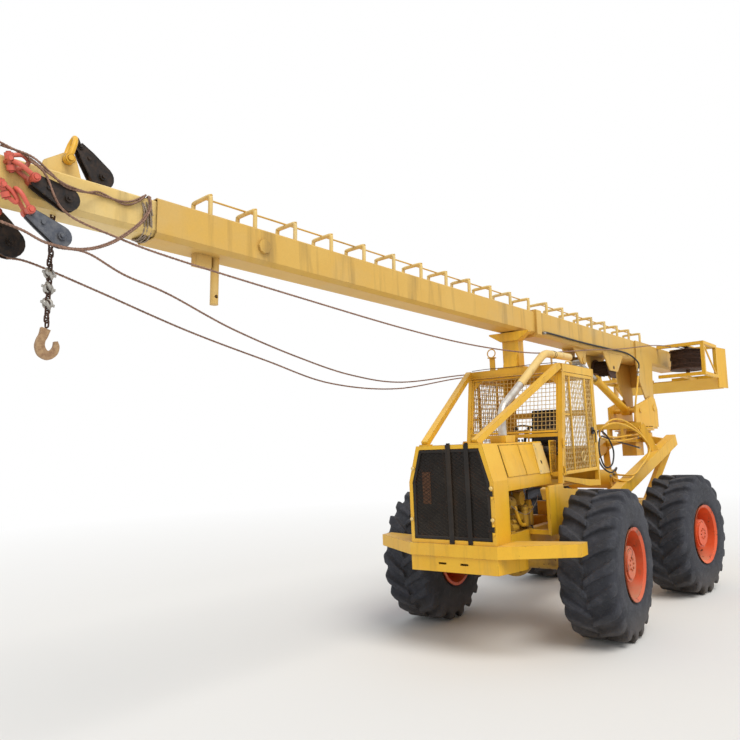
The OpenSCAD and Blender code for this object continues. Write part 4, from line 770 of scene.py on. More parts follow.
# one lug; columns: distance from the middle, top radius, half width at the top
LUG = ((-0.012, 0.889, 0.036), (0.05, 0.889, 0.040), (0.12, 0.889, 0.044), (0.19, 0.886, 0.048),
       (0.25, 0.876, 0.051), (0.295, 0.856, 0.052), (0.316, 0.822, 0.050), (0.328, 0.770, 0.044), (0.327, 0.735, 0.036))
LUG_LEAN = math.tan(math.radians(27))


def lug_mesh(hand):
    part = bmesh.new()
    rows = []
    for out, top, half in LUG:
        drift = -hand * (LUG_LEAN * out + 0.10 * math.sin(out * 7.0) * 0.35)
        low = min(top, 0.86) - 0.075
        rows.append([part.verts.new(p) for p in (
            (low, drift - half * 1.5, out), (top, drift - half, out), (top, drift + half, out),
            (low, drift + half * 1.5, out))])
    for near, far in zip(rows, rows[1:]):
        for k in range(4):
            part.faces.new((near[k], near[(k + 1) % 4], far[(k + 1) % 4], far[k]))
    part.faces.new(list(reversed(rows[0])))
    part.faces.new(rows[-1])
    bmesh.ops.recalc_face_normals(part, faces=part.faces)
    mesh = bpy.data.meshes.new("lug")
    part.to_mesh(mesh)
    part.free()
    return mesh


KEEP_FACES = 0.40


def tyre_mesh(hand, segments=128, voxel=0.0115):
    section = [(r, -z) for r, z in OUTER] + [(r, z) for r, z in reversed(OUTER)]
    inner = [(max(r - 0.035, BEAD_R), z * 0.88) for r, z in section[2:-2]]
    loop = section + list(reversed(inner))
    part = bmesh.new()
    rings = [[part.verts.new((r * math.cos(a), r * math.sin(a), z)) for r, z in loop]
             for a in (2 * math.pi * k / segments for k in range(segments))]
    for i in range(segments):
        near, far = rings[i], rings[(i + 1) % segments]
        for k in range(len(loop)):
            part.faces.new((near[k], far[k], far[(k + 1) % len(loop)], near[(k + 1) % len(loop)]))
    bmesh.ops.recalc_face_normals(part, faces=part.faces)
    whole = bpy.data.meshes.new("carcass")
    part.to_mesh(whole)
    part.from_mesh(grown(lug_tree, lug_mesh(hand), tyre_rubber, Count=LUG_COUNT, Phase=0.0))
    other = grown(lug_tree, lug_mesh(hand), tyre_rubber, Count=LUG_COUNT, Phase=0.5)
    other.transform(Matrix.Diagonal((1, 1, -1, 1)))
    other.flip_normals()
    part.from_mesh(other)
    part.to_mesh(whole)
    part.free()
    host = bpy.data.objects.new("tyre_host", whole)
    bpy.context.collection.objects.link(host)
    melt = host.modifiers.new("melt", "REMESH")
    melt.mode = "VOXEL"
    melt.voxel_size = voxel
    soften = host.modifiers.new("soften", "SMOOTH")
    soften.factor = 0.6
    soften.iterations = 5
    host.modifiers.new("thin", "DECIMATE").ratio = KEEP_FACES
    seen = host.evaluated_get(bpy.context.evaluated_depsgraph_get())
    mesh = bpy.data.meshes.new_from_object(seen)
    bpy.data.objects.remove(host)
    for vertex in mesh.vertices:
        flat = math.hypot(vertex.co.x, vertex.co.y)
        over = min(1.0, (TYRE_R - 0.002) / flat)
        side = TYRE_HALF - 0.004
        vertex.co = (vertex.co.x * over, vertex.co.y * over, max(-side, min(side, vertex.co.z)))
    return mesh


# %% Set the tyres on their wheels
WHEELS = (("front_left", 0.0, 1, GROUND), ("front_right", 0.0, -1, GROUND),
          ("rear_left", -3.26, 1, REAR), ("rear_right", -3.26, -1, REAR))
HALF_TRACK = 1.21


def wheel_place(x, side, base):
    """Matrix of a wheel: Z points outward from the machine."""
    return base @ Matrix.Translation((x, side * HALF_TRACK, AXLE_Z)) @ Matrix.Rotation(-side * math.pi / 2, 4, "X")


for side in (1, -1):
    master = tyre_mesh(side, voxel=0.0115)
    for name, x, hand, base in WHEELS:
        if hand == side:
            mesh = master.copy()
            mesh.transform(Matrix.Rotation(0.11 * (x + 1), 4, "Z"))
            mesh.transform(wheel_place(x, hand, base))
            tyre = object_of(mesh, "tread_" + name, "wheel_" + name, tyre_rubber, smooth=False)
            mesh.polygons.foreach_set("use_smooth", [True] * len(mesh.polygons))
            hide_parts("tyre_" + name)
            print(tyre.name, len(mesh.polygons), "faces")

# %% [markdown]
# ## Screens of the cab and the nose
# The doors and the windscreen are guard screens: welded frames filled with woven wire. The nose door
# is a frame filled with expanded metal, held by two flat straps, with a rusty patch plate on one side.
# A thin black sheet behind its screen is painted shade: it stands for the dark inside of the nose.
# Each stands for the flat panel of the CAD model and follows the same outline.

# %% Screen helpers
MIRROR = GROUND @ Matrix.Diagonal((1, -1, 1, 1))
XZ = Matrix(((1, 0, 0, 0), (0, 0, -1, 0), (0, 1, 0, 0), (0, 0, 0, 1)))
YZ = Matrix(((0, 0, 1, 0), (1, 0, 0, 0), (0, 1, 0, 0), (0, 0, 0, 1)))


def face_y(y):
    """Plane whose X and Y are the machine's X and Z, facing -Y, at y."""
    return Matrix.Translation((0, y, 0)) @ XZ


def face_x(x):
    """Plane whose X and Y are the machine's Y and Z, facing +X, at x."""
    return Matrix.Translation((x, 0, 0)) @ YZ


def inset(outline, by):
    """A convex outline, listed anticlockwise, moved inwards."""
    made, count = [], len(outline)
    for i in range(count):
        a, b, c = (Vector(outline[(i + k) % count]) for k in (-1, 0, 1))
        one, two = (b - a).normalized(), (c - b).normalized()
        n1, n2 = Vector((-one.y, one.x)), Vector((-two.y, two.x))
        middle = (n1 + n2).normalized()
        made.append(tuple(b + middle * (by / middle.dot(n1))))
    return made


def border(piece, outline, width, thickness, face, bevel=0.004):
    """Bars with mitred corners along an outline."""
    inner = inset(outline, width)
    count = len(outline)
    for i in range(count):
        k = (i + 1) % count
        piece.slab([outline[i], outline[k], inner[k], inner[i]], thickness, face, bevel)
    return inner


def woven(name, body, outline, face, pitch, wire, material, place=GROUND, pairs=0.0):
    """A woven screen cut to an outline in the plane of face."""
    low = [min(p[k] for p in outline) for k in (0, 1)]
    high = [max(p[k] for p in outline) for k in (0, 1)]
    across, up = (int((high[k] - low[k]) / pitch) + 3 for k in (0, 1))
    middle = [sum(p[k] for p in outline) / len(outline) for k in (0, 1)]
    whole = bmesh.new()
    for shift in ((0.0, pairs) if pairs else (0.0,)):
        mesh = grown(weave_tree, line_mesh([(0, 0, 0), (1, 0, 0)]), material, Width=pitch * (across + 1),
                     Height=pitch * (up + 1), Pitch=pitch, Wire=wire, Across=across, Up=up)
        mesh.transform(Matrix.Translation((low[0] - pitch / 2 + shift, low[1] - pitch / 2 + shift, 0)))
        whole.from_mesh(trimmed(mesh, outline, middle))
    whole.transform(place @ face)
    if (place @ face).determinant() < 0:
        bmesh.ops.reverse_faces(whole, faces=whole.faces)
    mesh = bpy.data.meshes.new(name)
    whole.to_mesh(mesh)
    whole.free()
    made = object_of(mesh, name, body, material, smooth=True)
    print(name, len(mesh.polygons), "faces")
    return made


# %% Nose door
STEP_Z, KNEE_Z, HOOD_Z, NOSE_X = 1.27, 1.97, 2.39, 1.64
NOSE_HALF, HOOD_HALF = 0.549, 0.432
NOSE = [(-NOSE_HALF, STEP_Z), (NOSE_HALF, STEP_Z), (NOSE_HALF, KNEE_Z), (HOOD_HALF, HOOD_Z),
        (-HOOD_HALF, HOOD_Z), (-NOSE_HALF, KNEE_Z)]
door_edge = inset(NOSE, 0.051)
grille = Piece("nose_door_frame", "grille_door", black_paint)
border(grille, door_edge, 0.034, 0.022, face_x(1.618))
# painted shade: a thin black sheet behind the screen stands for the dark inside of the nose
grille.slab(inset(door_edge, 0.02), 0.002, face_x(1.6215), 0)
for z in (1.42, 1.81):
    grille.rod((1.654, 0.5265, z), (1.654, 0.5265, z + 0.06), 0.0118)
    grille.box((1.64, 0.452, z + 0.004), (1.6478, 0.5265, z + 0.056), 0.002)
for y0, y1 in ((-0.035, 0.03), (0.203, 0.262)):
    grille.box((1.6416, y0, STEP_Z + 0.004), (1.6478, y1, HOOD_Z + 0.004), 0.002)
    grille.box((1.612, y0 + 0.008, HOOD_Z + 0.001), (1.6478, y1 - 0.008, HOOD_Z + 0.007), 0.002)
    grille.rod((1.63, y0 + 0.012, HOOD_Z + 0.014), (1.63, y1 - 0.012, HOOD_Z + 0.014), 0.008)
grille_frame = grille.done()
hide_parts("grille_door")
SLOT_HALF, SLOT_RISE = 0.034, 0.021
rows = int((HOOD_Z - STEP_Z) / SLOT_RISE) + 2
mesh = grown(lozenge_tree, line_mesh([(0, 0, 0), (1, 0, 0)]), black_paint, Width=1.2, Half_Long=SLOT_HALF,
             Short=SLOT_RISE, Strand=0.0055, Rows=rows)
mesh.transform(Matrix.Translation((-0.6, STEP_Z, 0)))
mesh = trimmed(mesh, inset(NOSE, 0.06), (0, 1.8))
mesh.transform(GROUND @ face_x(1.6335))
object_of(mesh, "nose_screen", "grille_door", black_paint, smooth=False)
print("nose screen", len(mesh.polygons), "faces")
patch = Piece("nose_patch", "grille_door", rusty_iron, slot="rusty_iron")
patch.box((1.6265, -0.372, 1.715), (1.6285, -0.262, 2.085), 0.0005)
patch.done()
seats = [((1.6478, 0.475, z), (1, 0, 0)) for z in (1.435, 1.465, 1.825, 1.855)]
bolts("nose_door_bolts", "grille_door", seats, 0.007, 0.006, material=black_paint)
knobs = Piece("nose_knobs", "front_frame", cream, slot="cream_paint")
for y, z in ((0.524, 1.90), (0.524, 1.555), (-0.482, 2.13), (-0.524, 1.54)):
    knobs.turned([(0, 0.012), (0.012, 0.012), (0.0125, 0.021), (0.021, 0.022), (0.028, 0.019), (0.033, 0.012)],
                 (NOSE_X, y, z), (NOSE_X + 1, y, z), 28)
knobs.done()

# %% Cab doors
SILL_Z, LEAN = 1.93, 260 / 1490


def door_front(z):
    return -0.126 - (z - SILL_Z) * LEAN


DOOR = [(-1.494, 1.945), (door_front(1.945), 1.945), (door_front(3.304), 3.304), (-1.494, 3.304)]
for side, place in (("left", GROUND), ("right", MIRROR)):
    body = side + "_door"
    door = Piece(body + "_frame", body, yellow, place)
    inner = border(door, DOOR, 0.045, 0.034, face_y(0.70))
    for x in (-0.56, -1.18):
        door.box((x - 0.02, 0.667, 1.985), (x + 0.02, 0.699, 3.262), 0.004)
    door.box((-1.484, 0.668, 1.955), (-1.254, 0.676, 2.375), 0.002)
    door.box((-0.58, 0.667, 2.72), (-0.2, 0.687, 2.75), 0.003)
    for z in (1.97, 2.33):
        door.rod((-0.126, 0.714, z), (-0.126, 0.714, z + 0.06), 0.0118)
        front = door_front(z + 0.06) - 0.06
        door.box((front, 0.701, z), (-0.126, 0.708, z + 0.06), 0.002)
    made = door.done()
    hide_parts(body)
    woven(body + "_mesh", body, inset(DOOR, 0.03), face_y(0.683), 0.068, 0.0040, tan_wire, place, pairs=0.013)
    latch = Piece(body + "_latch", body, dark_iron, place, slot="dark_iron")
    latch.box((-1.40, 0.7, 2.46), (-1.30, 0.712, 2.56), 0.003).rod((-1.35, 0.705, 2.51), (-1.35, 0.735, 2.51), 0.014)
    latch.tube([(-1.35, 0.733, 2.51), (-1.35, 0.742, 2.46), (-1.352, 0.742, 2.38), (-1.354, 0.742, 2.34)], 0.008)
    latch.done()
    ring = Piece(body + "_ring", body, cream, place, slot="cream_paint")
    ring.ring((-0.86, 0.712, 2.16), (0, 1, 0), 0.062, 0.009).box((-0.875, 0.698, 2.205), (-0.845, 0.716, 2.235), 0.002)
    ring.done()
    seats = [((door_front(z + 0.03) - 0.06 + d, 0.708, z + 0.03), (0, 1, 0))
             for z in (1.97, 2.33) for d in (0.015, 0.045)]
    bolts(body + "_bolts", body, seats, 0.006, 0.005, place=place, material=zinc)

# %% Windscreen guard
half = 0.6397
rise = 0.810
foot_x = -0.06 - 0.26 * (2.5 - SILL_Z) / 1.49 - 0.03
SCREEN = Matrix.Translation((foot_x, 0, 2.5)) @ Matrix.Rotation(-math.atan(LEAN), 4, "Y") @ YZ
PANE = [(-half, 0), (half, 0), (half, rise), (-half, rise)]
screen = Piece("screen_frame", "front_frame", yellow)
inner = border(screen, PANE, 0.028, 0.026, SCREEN)
screen.slab([(half - 0.16, rise - 0.03), (half - 0.03, rise - 0.16), (half - 0.02, rise - 0.02)], 0.006,
            SCREEN @ Matrix.Translation((0, 0, 0.01)), 0.001)
screen.slab([(-half + 0.02, rise - 0.02), (-half + 0.03, rise - 0.16), (-half + 0.16, rise - 0.03)], 0.006,
            SCREEN @ Matrix.Translation((0, 0, 0.01)), 0.001)
made = screen.done()
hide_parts("front_screen")
woven("screen_mesh", "front_frame", inset(PANE, 0.015), SCREEN @ Matrix.Translation((0, 0, 0.013)), 0.056, 0.0042,
      tan_wire)

# %% [markdown]
# ## Hood
# The folded hood carries two flat side panels and an access plate on each sloped flank, with narrow
# gaps between them and a rolled lip on each panel. Black strips in those gaps are painted shadow, and a
# black keyhole shape is painted shade in the lock's hole. `FLANK` is the plane of the left flank: X runs
# forward, Y down the slope and Z outward.

# %% Dressed hood
SKIRT_Z, HOOD_REAR, HOOD_FRONT, SHEET = 1.84, -0.06, 1.26, 0.012


def hood_half_outline(t):
    return [(NOSE_HALF - t, SKIRT_Z), (NOSE_HALF - t, KNEE_Z - t / 3), (HOOD_HALF - t / 2, HOOD_Z - t)]


ring = hood_half_outline(0) + [(-y, z) for y, z in reversed(hood_half_outline(0))]
ring += [(y, z) for y, z in [(-y, z) for y, z in hood_half_outline(SHEET)]] + list(reversed(hood_half_outline(SHEET)))
shell = Piece("hood_shell", "front_frame", yellow, slot="yellow_paint")
shell.slab(ring, HOOD_FRONT - HOOD_REAR, face_x(HOOD_REAR), 0.003)
slope = Vector((0, NOSE_HALF - HOOD_HALF, KNEE_Z - HOOD_Z))
slope.normalize()
FLANK = Matrix(((1, 0, 0, 0), (0, slope.y, -slope.z, HOOD_HALF), (0, slope.z, slope.y, HOOD_Z), (0, 0, 0, 1)))
# panels on a flank; columns: rear edge, front edge at the top, the same two at the bottom, thickness
PANELS = ((0.706, 1.236, 0.706, 1.236, 0.010), (0.262, 0.694, 0.318, 0.694, 0.010))
ACCESS = (-0.045, 0.250, -0.045, 0.306)
for side, place in (("left", GROUND), ("right", MIRROR)):
    flank = Piece("hood_panels_" + side, "front_frame", yellow, place)
    for x0, x1, low0, low1, thick in PANELS:
        flank.slab([(x0, 0.022), (x1, 0.022), (low1, 0.412), (low0, 0.412)], thick, FLANK, 0.004)
        for ends, lip in ((((x0 + 0.006, 0.022), (low0 + 0.006, 0.412)), 0.0075),
                          (((x0 + 0.01, 0.026), (x1 - 0.01, 0.026)), 0.005)):
            one, two = (FLANK @ Vector((x, down, thick)) for x, down in ends)
            flank.rod(one, two, lip, 12, 0.001)
    flank.done()
    plate = Piece("access_plate_" + side, "front_frame", cream, place, slot="cream_paint")
    x0, x1, low0, low1 = ACCESS
    plate.slab([(x0, 0.018), (x1, 0.018), (low1, 0.424), (low0, 0.424)], 0.007, FLANK, 0.002)
    plate.done()
    # painted shadow: thin black strips in the gaps between panels, and a black keyhole shape for the shade in the
    # lock's hole
    painted_shade = Piece("hood_gaps_" + side, "front_frame", black_paint, place, slot="black_paint")
    for x, low in ((0.256, 0.312), (0.700, 0.700), (1.243, 1.243)):
        line = [(x - 0.0055, 0.02), (x + 0.0055, 0.02), (low + 0.0055, 0.414), (low - 0.0055, 0.414)]
        painted_shade.slab(line, 0.0015, FLANK, 0)
    painted_shade.slab([(0.135, 0.262), (0.163, 0.248), (0.176, 0.262), (0.163, 0.292), (0.150, 0.306), (0.141, 0.296)], 0.009,
             FLANK, 0.001)
    painted_shade.done()
    seats = [(FLANK @ Vector(p), FLANK.to_3x3() @ Vector((0, 0, 1))) for p in (
        (0.215, 0.05, 0.007), (-0.015, 0.05, 0.007), (0.262, 0.39, 0.007), (-0.015, 0.39, 0.007), (0.20, 0.10, 0.007))]
    bolts("access_bolts_" + side, "front_frame", seats, 0.0065, 0.005, place, zinc)
made = shell.done()
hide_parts("hood")

# %% [markdown]
# ## Side tanks
# Under the cab each side has a tank whose outer plate runs on ahead as a thin guard, so that the engine
# bay stays open behind it. The guard's edges are folded, and a strut ties its foot to the tank.

# %% Dressed side tanks
TANK_FRONT, TANK_IN, TANK_OUT = -0.32, 0.38, 0.70
for side, place in (("left", GROUND), ("right", MIRROR)):
    tank = Piece("tank_" + side, "front_frame", yellow, place)
    roof_at = 1.78 + (TANK_FRONT + 0.064) * 0.09 / 1.036
    tank.slab([(TANK_FRONT, 1.24), (TANK_FRONT, roof_at), (-1.1, 1.69), (-1.1, 1.24)], TANK_OUT - TANK_IN - 0.012,
              face_y(TANK_OUT - 0.012), 0.008)
    tank.slab([(0.43, 1.24), (0.43, 1.838), (-0.055, 1.838), (-0.064, 1.78), (-1.1, 1.69), (-1.1, 1.24)], 0.012,
              face_y(TANK_OUT), 0.003)
    tank.box((0.418, 0.655, 1.24), (0.43, 0.69, 1.838), 0.003).box((-0.05, 0.655, 1.826), (0.43, 0.69, 1.838), 0.003)
    tank.box((-0.33, 0.655, 1.24), (0.43, 0.69, 1.252), 0.003).box((0.30, 0.38, 1.242), (0.36, 0.69, 1.30), 0.006)
    tank.box((-0.34, 0.62, 1.50), (-0.30, 0.69, 1.54), 0.004)
    made = tank.done()
    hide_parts("side_tanks")
    cap = Piece("tank_cap_" + side, "front_frame", dark_iron, place, slot="dark_iron")
    cap.rod((-0.55, 0.53, 1.72), (-0.55, 0.53, 1.775), 0.045, 28, 0.006)
    cap.done()

# %% [markdown]
# ## Exhaust
# A bare steel sleeve rises out of a small box on the hood; the cream pipe slipped over it runs back
# beside the sweep bar and turns over the roof. Both turns are real bends, not mitres.

# %% Exhaust
FOOT, BEND, ELBOW, MOUTH = (Vector(p) for p in ((0.86, 0.33, 2.385), (0.86, 0.33, 2.80), (-0.5, 0.39, 3.602),
                                                (-1.48, 0.39, 3.625)))


def rounded(before, corner, after, reach, count=5):
    """Points of a bend in place of a sharp corner."""
    one = corner + (before - corner).normalized() * reach
    two = corner + (after - corner).normalized() * reach
    return [one.lerp(corner, t).lerp(corner.lerp(two, t), t) for t in (k / (count - 1) for k in range(count))]


SPLIT = BEND.lerp(ELBOW, 0.42)
sleeve = Piece("exhaust_sleeve", "front_frame", sleeve_metal, slot="zinc")
sleeve.tube([FOOT, FOOT.lerp(BEND, 0.4)] + rounded(FOOT, BEND, ELBOW, 0.13) + [SPLIT.lerp(BEND, 0.4), SPLIT],
            0.050, 28, 4)
sleeve.done()
stack = Piece("exhaust_pipe", "front_frame", cream, slot="cream_paint")
stack.tube([SPLIT.lerp(ELBOW, -0.03), SPLIT.lerp(ELBOW, 0.4)] + rounded(SPLIT, ELBOW, MOUTH, 0.15)
           + [MOUTH.lerp(ELBOW, 0.4), MOUTH], 0.054, 28, 4)
stack.rod((-0.76, 0.39, 3.418), (-0.76, 0.39, 3.556), 0.014)
made = stack.done()
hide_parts("exhaust")
box = Piece("hood_box", "front_frame", yellow)
box.box((0.65, 0.19, HOOD_Z), (0.93, 0.40, HOOD_Z + 0.09), 0.006)
box.done()
band = Piece("exhaust_clamp", "front_frame", dark_iron, slot="dark_iron")
for t in (0.30, 0.36):
    middle = ELBOW.lerp(MOUTH, t)
    band.rod(middle - Vector((0.006, 0, 0)), middle + Vector((0.006, 0, 0)), 0.0565, 28, 0.001)
band.rod(MOUTH - Vector((0.004, 0, 0)), MOUTH - Vector((-0.002, 0, 0)), 0.046, 28, 0)
band.done()

# %% Hoops on the boom
# bent bars over the boom; columns: rearmost, count, size of the section that they stand on
hoops = Piece("boom_hoops", "boom", cream, BOOM, slot="cream_paint")
HOOP_PITCH, HOOP_HEIGHT = 0.491, 0.19
for first, count, size in ((3.24, 8, 0.370), (9.132, 12, 0.338)):
    half, foot, top = size / 2 - 0.03, size / 2 - 0.003, size / 2 + HOOP_HEIGHT - 0.012
    for k in range(count):
        s = first - k * HOOP_PITCH
        corners = [Vector((s, -half, foot)), Vector((s, -half, top)), Vector((s, half, top)), Vector((s, half, foot))]
        path = [corners[0]] + rounded(corners[0], corners[1], corners[2], 0.035, 3)
        path += rounded(corners[1], corners[2], corners[3], 0.035, 3) + [corners[3]]
        hoops.tube(path, 0.021, 10, 2)
hoops.done()

# %% Expanded metal between the hood and the cab
for side, place in (("left", GROUND), ("right", MIRROR)):
    panel = [(-0.19, 1.95), (-0.02, 1.95), (-0.02, 2.40), (-0.27, 2.40)]
    mesh = grown(lozenge_tree, line_mesh([(0, 0, 0), (1, 0, 0)]), yellow, Width=0.7, Half_Long=0.036, Short=0.017,
                 Strand=0.0045, Rows=22)
    mesh.transform(Matrix.Translation((1.9, -0.02, 0)))
    mesh.transform(Matrix(((0, -1, 0, 0), (1, 0, 0, 0), (0, 0, 1, 0), (0, 0, 0, 1))))
    mesh = trimmed(mesh, panel, (-0.1, 2.2))
    mesh.transform(place @ face_y(0.56))
    if place is MIRROR:
        mesh.flip_normals()
    object_of(mesh, "hood_mesh_" + side, "front_frame", yellow, smooth=False)
    edge = Piece("hood_mesh_frame_" + side, "front_frame", yellow, place)
    border(edge, panel, 0.02, 0.012, face_y(0.566), 0.002)
    edge.done()

# %% [markdown]
# ## Seat
# A simple bucket seat: a base cushion and a leaning back in black vinyl. Cloth with air pressure
# inside gives the crowned pads, starting from slightly smaller rounded blocks.

# %% Seat cushions
def cushion(name, low, high, turn):
    part = bmesh.new()
    bmesh.ops.create_cube(part, size=1.0)
    size = Vector(high) - Vector(low)
    part.transform(Matrix.Diagonal((*size, 1)))
    bmesh.ops.bevel(part, geom=part.edges[:], offset=0.028, segments=3, profile=0.6, affect="EDGES")
    part.transform(Matrix.Translation((Vector(low) + Vector(high)) / 2))
    mesh = bpy.data.meshes.new(name)
    part.to_mesh(mesh)
    part.free()
    host = bpy.data.objects.new("cushion_host", mesh)
    bpy.context.collection.objects.link(host)
    melt = host.modifiers.new("melt", "REMESH")
    melt.mode = "VOXEL"
    melt.voxel_size = 0.016
    mesh = bpy.data.meshes.new_from_object(host.evaluated_get(bpy.context.evaluated_depsgraph_get()))
    bpy.data.objects.remove(host)
    start = [v.co.copy() for v in mesh.vertices]
    host = bpy.data.objects.new("cloth_host", mesh)
    bpy.context.collection.objects.link(host)
    cloth = host.modifiers.new("cloth", "CLOTH")
    cloth.settings.use_pressure = True
    cloth.settings.uniform_pressure_force = 4.0
    cloth.settings.effector_weights.gravity = 0.0
    cloth.settings.tension_stiffness = 25
    cloth.settings.compression_stiffness = 25
    cloth.settings.quality = 5
    for number in range(1, 21):
        bpy.context.scene.frame_set(number)
    blown = bpy.data.meshes.new_from_object(host.evaluated_get(bpy.context.evaluated_depsgraph_get()))
    bpy.data.objects.remove(host)
    bpy.context.scene.frame_set(1)
    for vertex, old in zip(blown.vertices, start):
        move = vertex.co - old
        vertex.co = old + move * min(1.0, 0.022 / max(move.length, 1e-6))
    mesh = blown
    mesh.transform(turn)
    made = object_of(mesh, name, "front_frame", vinyl, smooth=False)
    mesh.polygons.foreach_set("use_smooth", [True] * len(mesh.polygons))
    fine = made.modifiers.new("fine", "SUBSURF")
    fine.levels = fine.render_levels = 1
    print(name, len(mesh.polygons), "faces")
    return made


base_cushion = cushion("seat_base_pad", (-1.31, -0.225, 2.215), (-0.82, 0.225, 2.29), GROUND)
tilt = (GROUND @ Matrix.Translation((-1.40, 0, 2.25)) @ Matrix.Rotation(math.radians(-10), 4, "Y")
        @ Matrix.Translation((1.40, 0, -2.25)))
back_cushion = cushion("seat_back_pad", (-1.365, -0.21, 2.31), (-1.295, 0.21, 2.84), tilt)
shell = Piece("seat_shell", "front_frame", black_paint, slot="seat_cover")
shell.box((-1.14, -0.12, 1.81), (-0.90, 0.12, 2.18), 0.01).box((-1.33, -0.235, 2.18), (-0.80, 0.235, 2.21), 0.012)
shell.box((-1.395, -0.235, 2.26), (-1.375, 0.235, 2.86), 0.01, Matrix.Rotation(math.radians(-10), 4, "Y"))
shell.rod((-1.34, -0.2, 2.19), (-1.41, -0.2, 2.34), 0.014).rod((-1.34, 0.2, 2.19), (-1.41, 0.2, 2.34), 0.014)
made = shell.done()
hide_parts("seat")
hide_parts("seat")
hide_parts("seat")

# %% [markdown]
# ## Boom tip
# From the tip hang a snatch block on a yellow shackle, a second block on red shackles, a short knotted
# chain and a forged hook, with a slack loop of wire rope under them. Blocks are two cheek plates with a
# grooved wheel between; shackles are bent bars with a pin; chain links are small bent rings.

# %% Blocks, shackles, chain and hook
def block(name, head, wheel_at, radius, width, cheek, neck=0.045):
    """A long pulley block in the plane of the boom's side, from its head to the wheel's axle."""
    head, wheel_at = Vector(head), Vector(wheel_at)
    n = wheel_at.y
    way = (wheel_at - head)
    lean = math.atan2(way.z, way.x)
    outline = [(wheel_at.x + math.cos(lean + a) * radius, wheel_at.z + math.sin(lean + a) * radius)
               for a in (math.radians(d) for d in range(-100, 101, 20))]
    for side, back in ((1, 0.35), (1, 0.0), (-1, 0.0), (-1, 0.35)):
        at = head + way * back
        wide = neck + (radius * 0.9 - neck) * back * 1.5
        outline.append((at.x - math.sin(lean) * wide * side, at.z + math.cos(lean) * wide * side))
    shell = Piece(name + "_cheeks", "boom_tip", cheek, BOOM, slot="dark_iron")
    for edge in (-width / 2, width / 2 - 0.012):
        shell.slab(outline, 0.012, face_y(n - edge), 0.003)
    across = Vector((0, width / 2 + 0.018, 0))
    shell.rod(wheel_at - across, wheel_at + across, 0.030)
    shell.rod(wheel_at - across * 1.25, wheel_at + across * 1.25, 0.014)
    for back in (0.06, 0.42):
        shell.rod(head + way * back - across * 0.9, head + way * back + across * 0.9, 0.016)
    made = shell.done()
    sheave = Piece(name + "_wheel", "boom_tip", rusty_iron, BOOM, slot="dark_iron")
    groove, thick = radius * 0.88, width - 0.032
    sheave.turned([(0, groove), (0.006, groove), (thick * 0.4, groove * 0.84), (thick * 0.6, groove * 0.84),
                   (thick - 0.006, groove), (thick, groove)],
                  wheel_at - Vector((0, thick / 2, 0)), wheel_at + Vector((0, 1, 0)), sides=40)
    sheave.done()
    return made


def shackle(piece, pin, bow, half, radius, axis=(0, 1, 0)):
    """A bow from a pin round the far point, with the pin's heads."""
    pin, bow, axis = Vector(pin), Vector(bow), Vector(axis).normalized()
    way = bow - pin
    piece.tube([pin + axis * half, pin + way * 0.35 + axis * half * 1.15, pin + way * 0.75 + axis * half * 1.05,
                bow + axis * half * 0.3, bow - axis * half * 0.3, pin + way * 0.75 - axis * half * 1.05,
                pin + way * 0.35 - axis * half * 1.15, pin - axis * half], radius)
    piece.rod(pin - axis * (half + radius * 2.0), pin + axis * (half + radius * 2.0), radius * 1.1)
    for side in (-1, 1):
        piece.rod(pin + axis * side * (half - radius * 1.3), pin + axis * side * (half + radius * 1.3),
                  radius * 1.9, 24, 0.003)


near_block = block("near_block", (10.67, 0.215, -0.01), (10.42, 0.215, -0.085), 0.088, 0.075, dark_iron)
low_block = block("low_block", (10.68, 0.205, -0.25), (10.45, 0.205, -0.375), 0.080, 0.06, slate_iron, 0.04)
fin_block = block("fin_block", (10.23, -0.10, 0.515), (10.03, -0.10, 0.30), 0.100, 0.08, dark_iron, 0.03)
far_block = block("far_block", (10.76, -0.22, -0.17), (10.66, -0.22, -0.37), 0.115, 0.08, dark_iron)
for made in (near_block, low_block, fin_block, far_block):
    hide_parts("tip_tackle")
bows = Piece("tip_shackles", "boom_tip", red_paint, BOOM, slot="red_paint")
shackle(bows, (10.665, 0.215, 0.0), (10.80, 0.215, 0.085), 0.046, 0.017)
shackle(bows, (10.82, 0.205, 0.085), (10.70, 0.20, 0.13), 0.040, 0.016, (0.3, 0.2, 1))
shackle(bows, (10.68, 0.205, -0.24), (10.77, 0.205, -0.10), 0.042, 0.016)
shackle(bows, (10.85, 0.20, -0.12), (10.76, 0.205, -0.17), 0.040, 0.016, (0.5, 0.1, 1))
shackle(bows, (10.765, -0.22, -0.165), (10.83, -0.22, -0.02), 0.046, 0.017)
bows.rod((10.83, 0.10, 0.10), (10.83, 0.25, 0.10), 0.018).rod((10.86, 0.10, -0.10), (10.86, 0.25, -0.10), 0.018)
bows.rod((10.835, -0.26, -0.02), (10.835, -0.10, -0.02), 0.018)
bows.rod((11.37, -0.185, -0.02), (11.37, 0.185, -0.02), 0.028)
bows.done()
end_wheel = Piece("end_wheel", "boom_tip", rusty_iron, BOOM, slot="dark_iron")
end_wheel.turned([(0, 0.1), (0.03, 0.1), (0.048, 0.078), (0.072, 0.078), (0.09, 0.1), (0.12, 0.1)],
                 (11.37, -0.06, -0.02), (11.37, 0.06, -0.02), sides=40)
end_wheel.done()
yellow_bow = Piece("fin_shackle", "boom_tip", yellow, BOOM, slot="yellow_paint")
shackle(yellow_bow, (10.35, 0.0, 0.314), (10.29, -0.02, 0.524), 0.05, 0.021)
yellow_bow.done()
cone = Piece("fin_link", "boom_tip", dark_iron, BOOM, slot="dark_iron")
shackle(cone, (10.22, -0.10, 0.49), (10.28, -0.04, 0.54), 0.03, 0.013, (0, 1, 0.2))
cone.done()

HANG_S, HANG_TOP = 10.43, -0.149


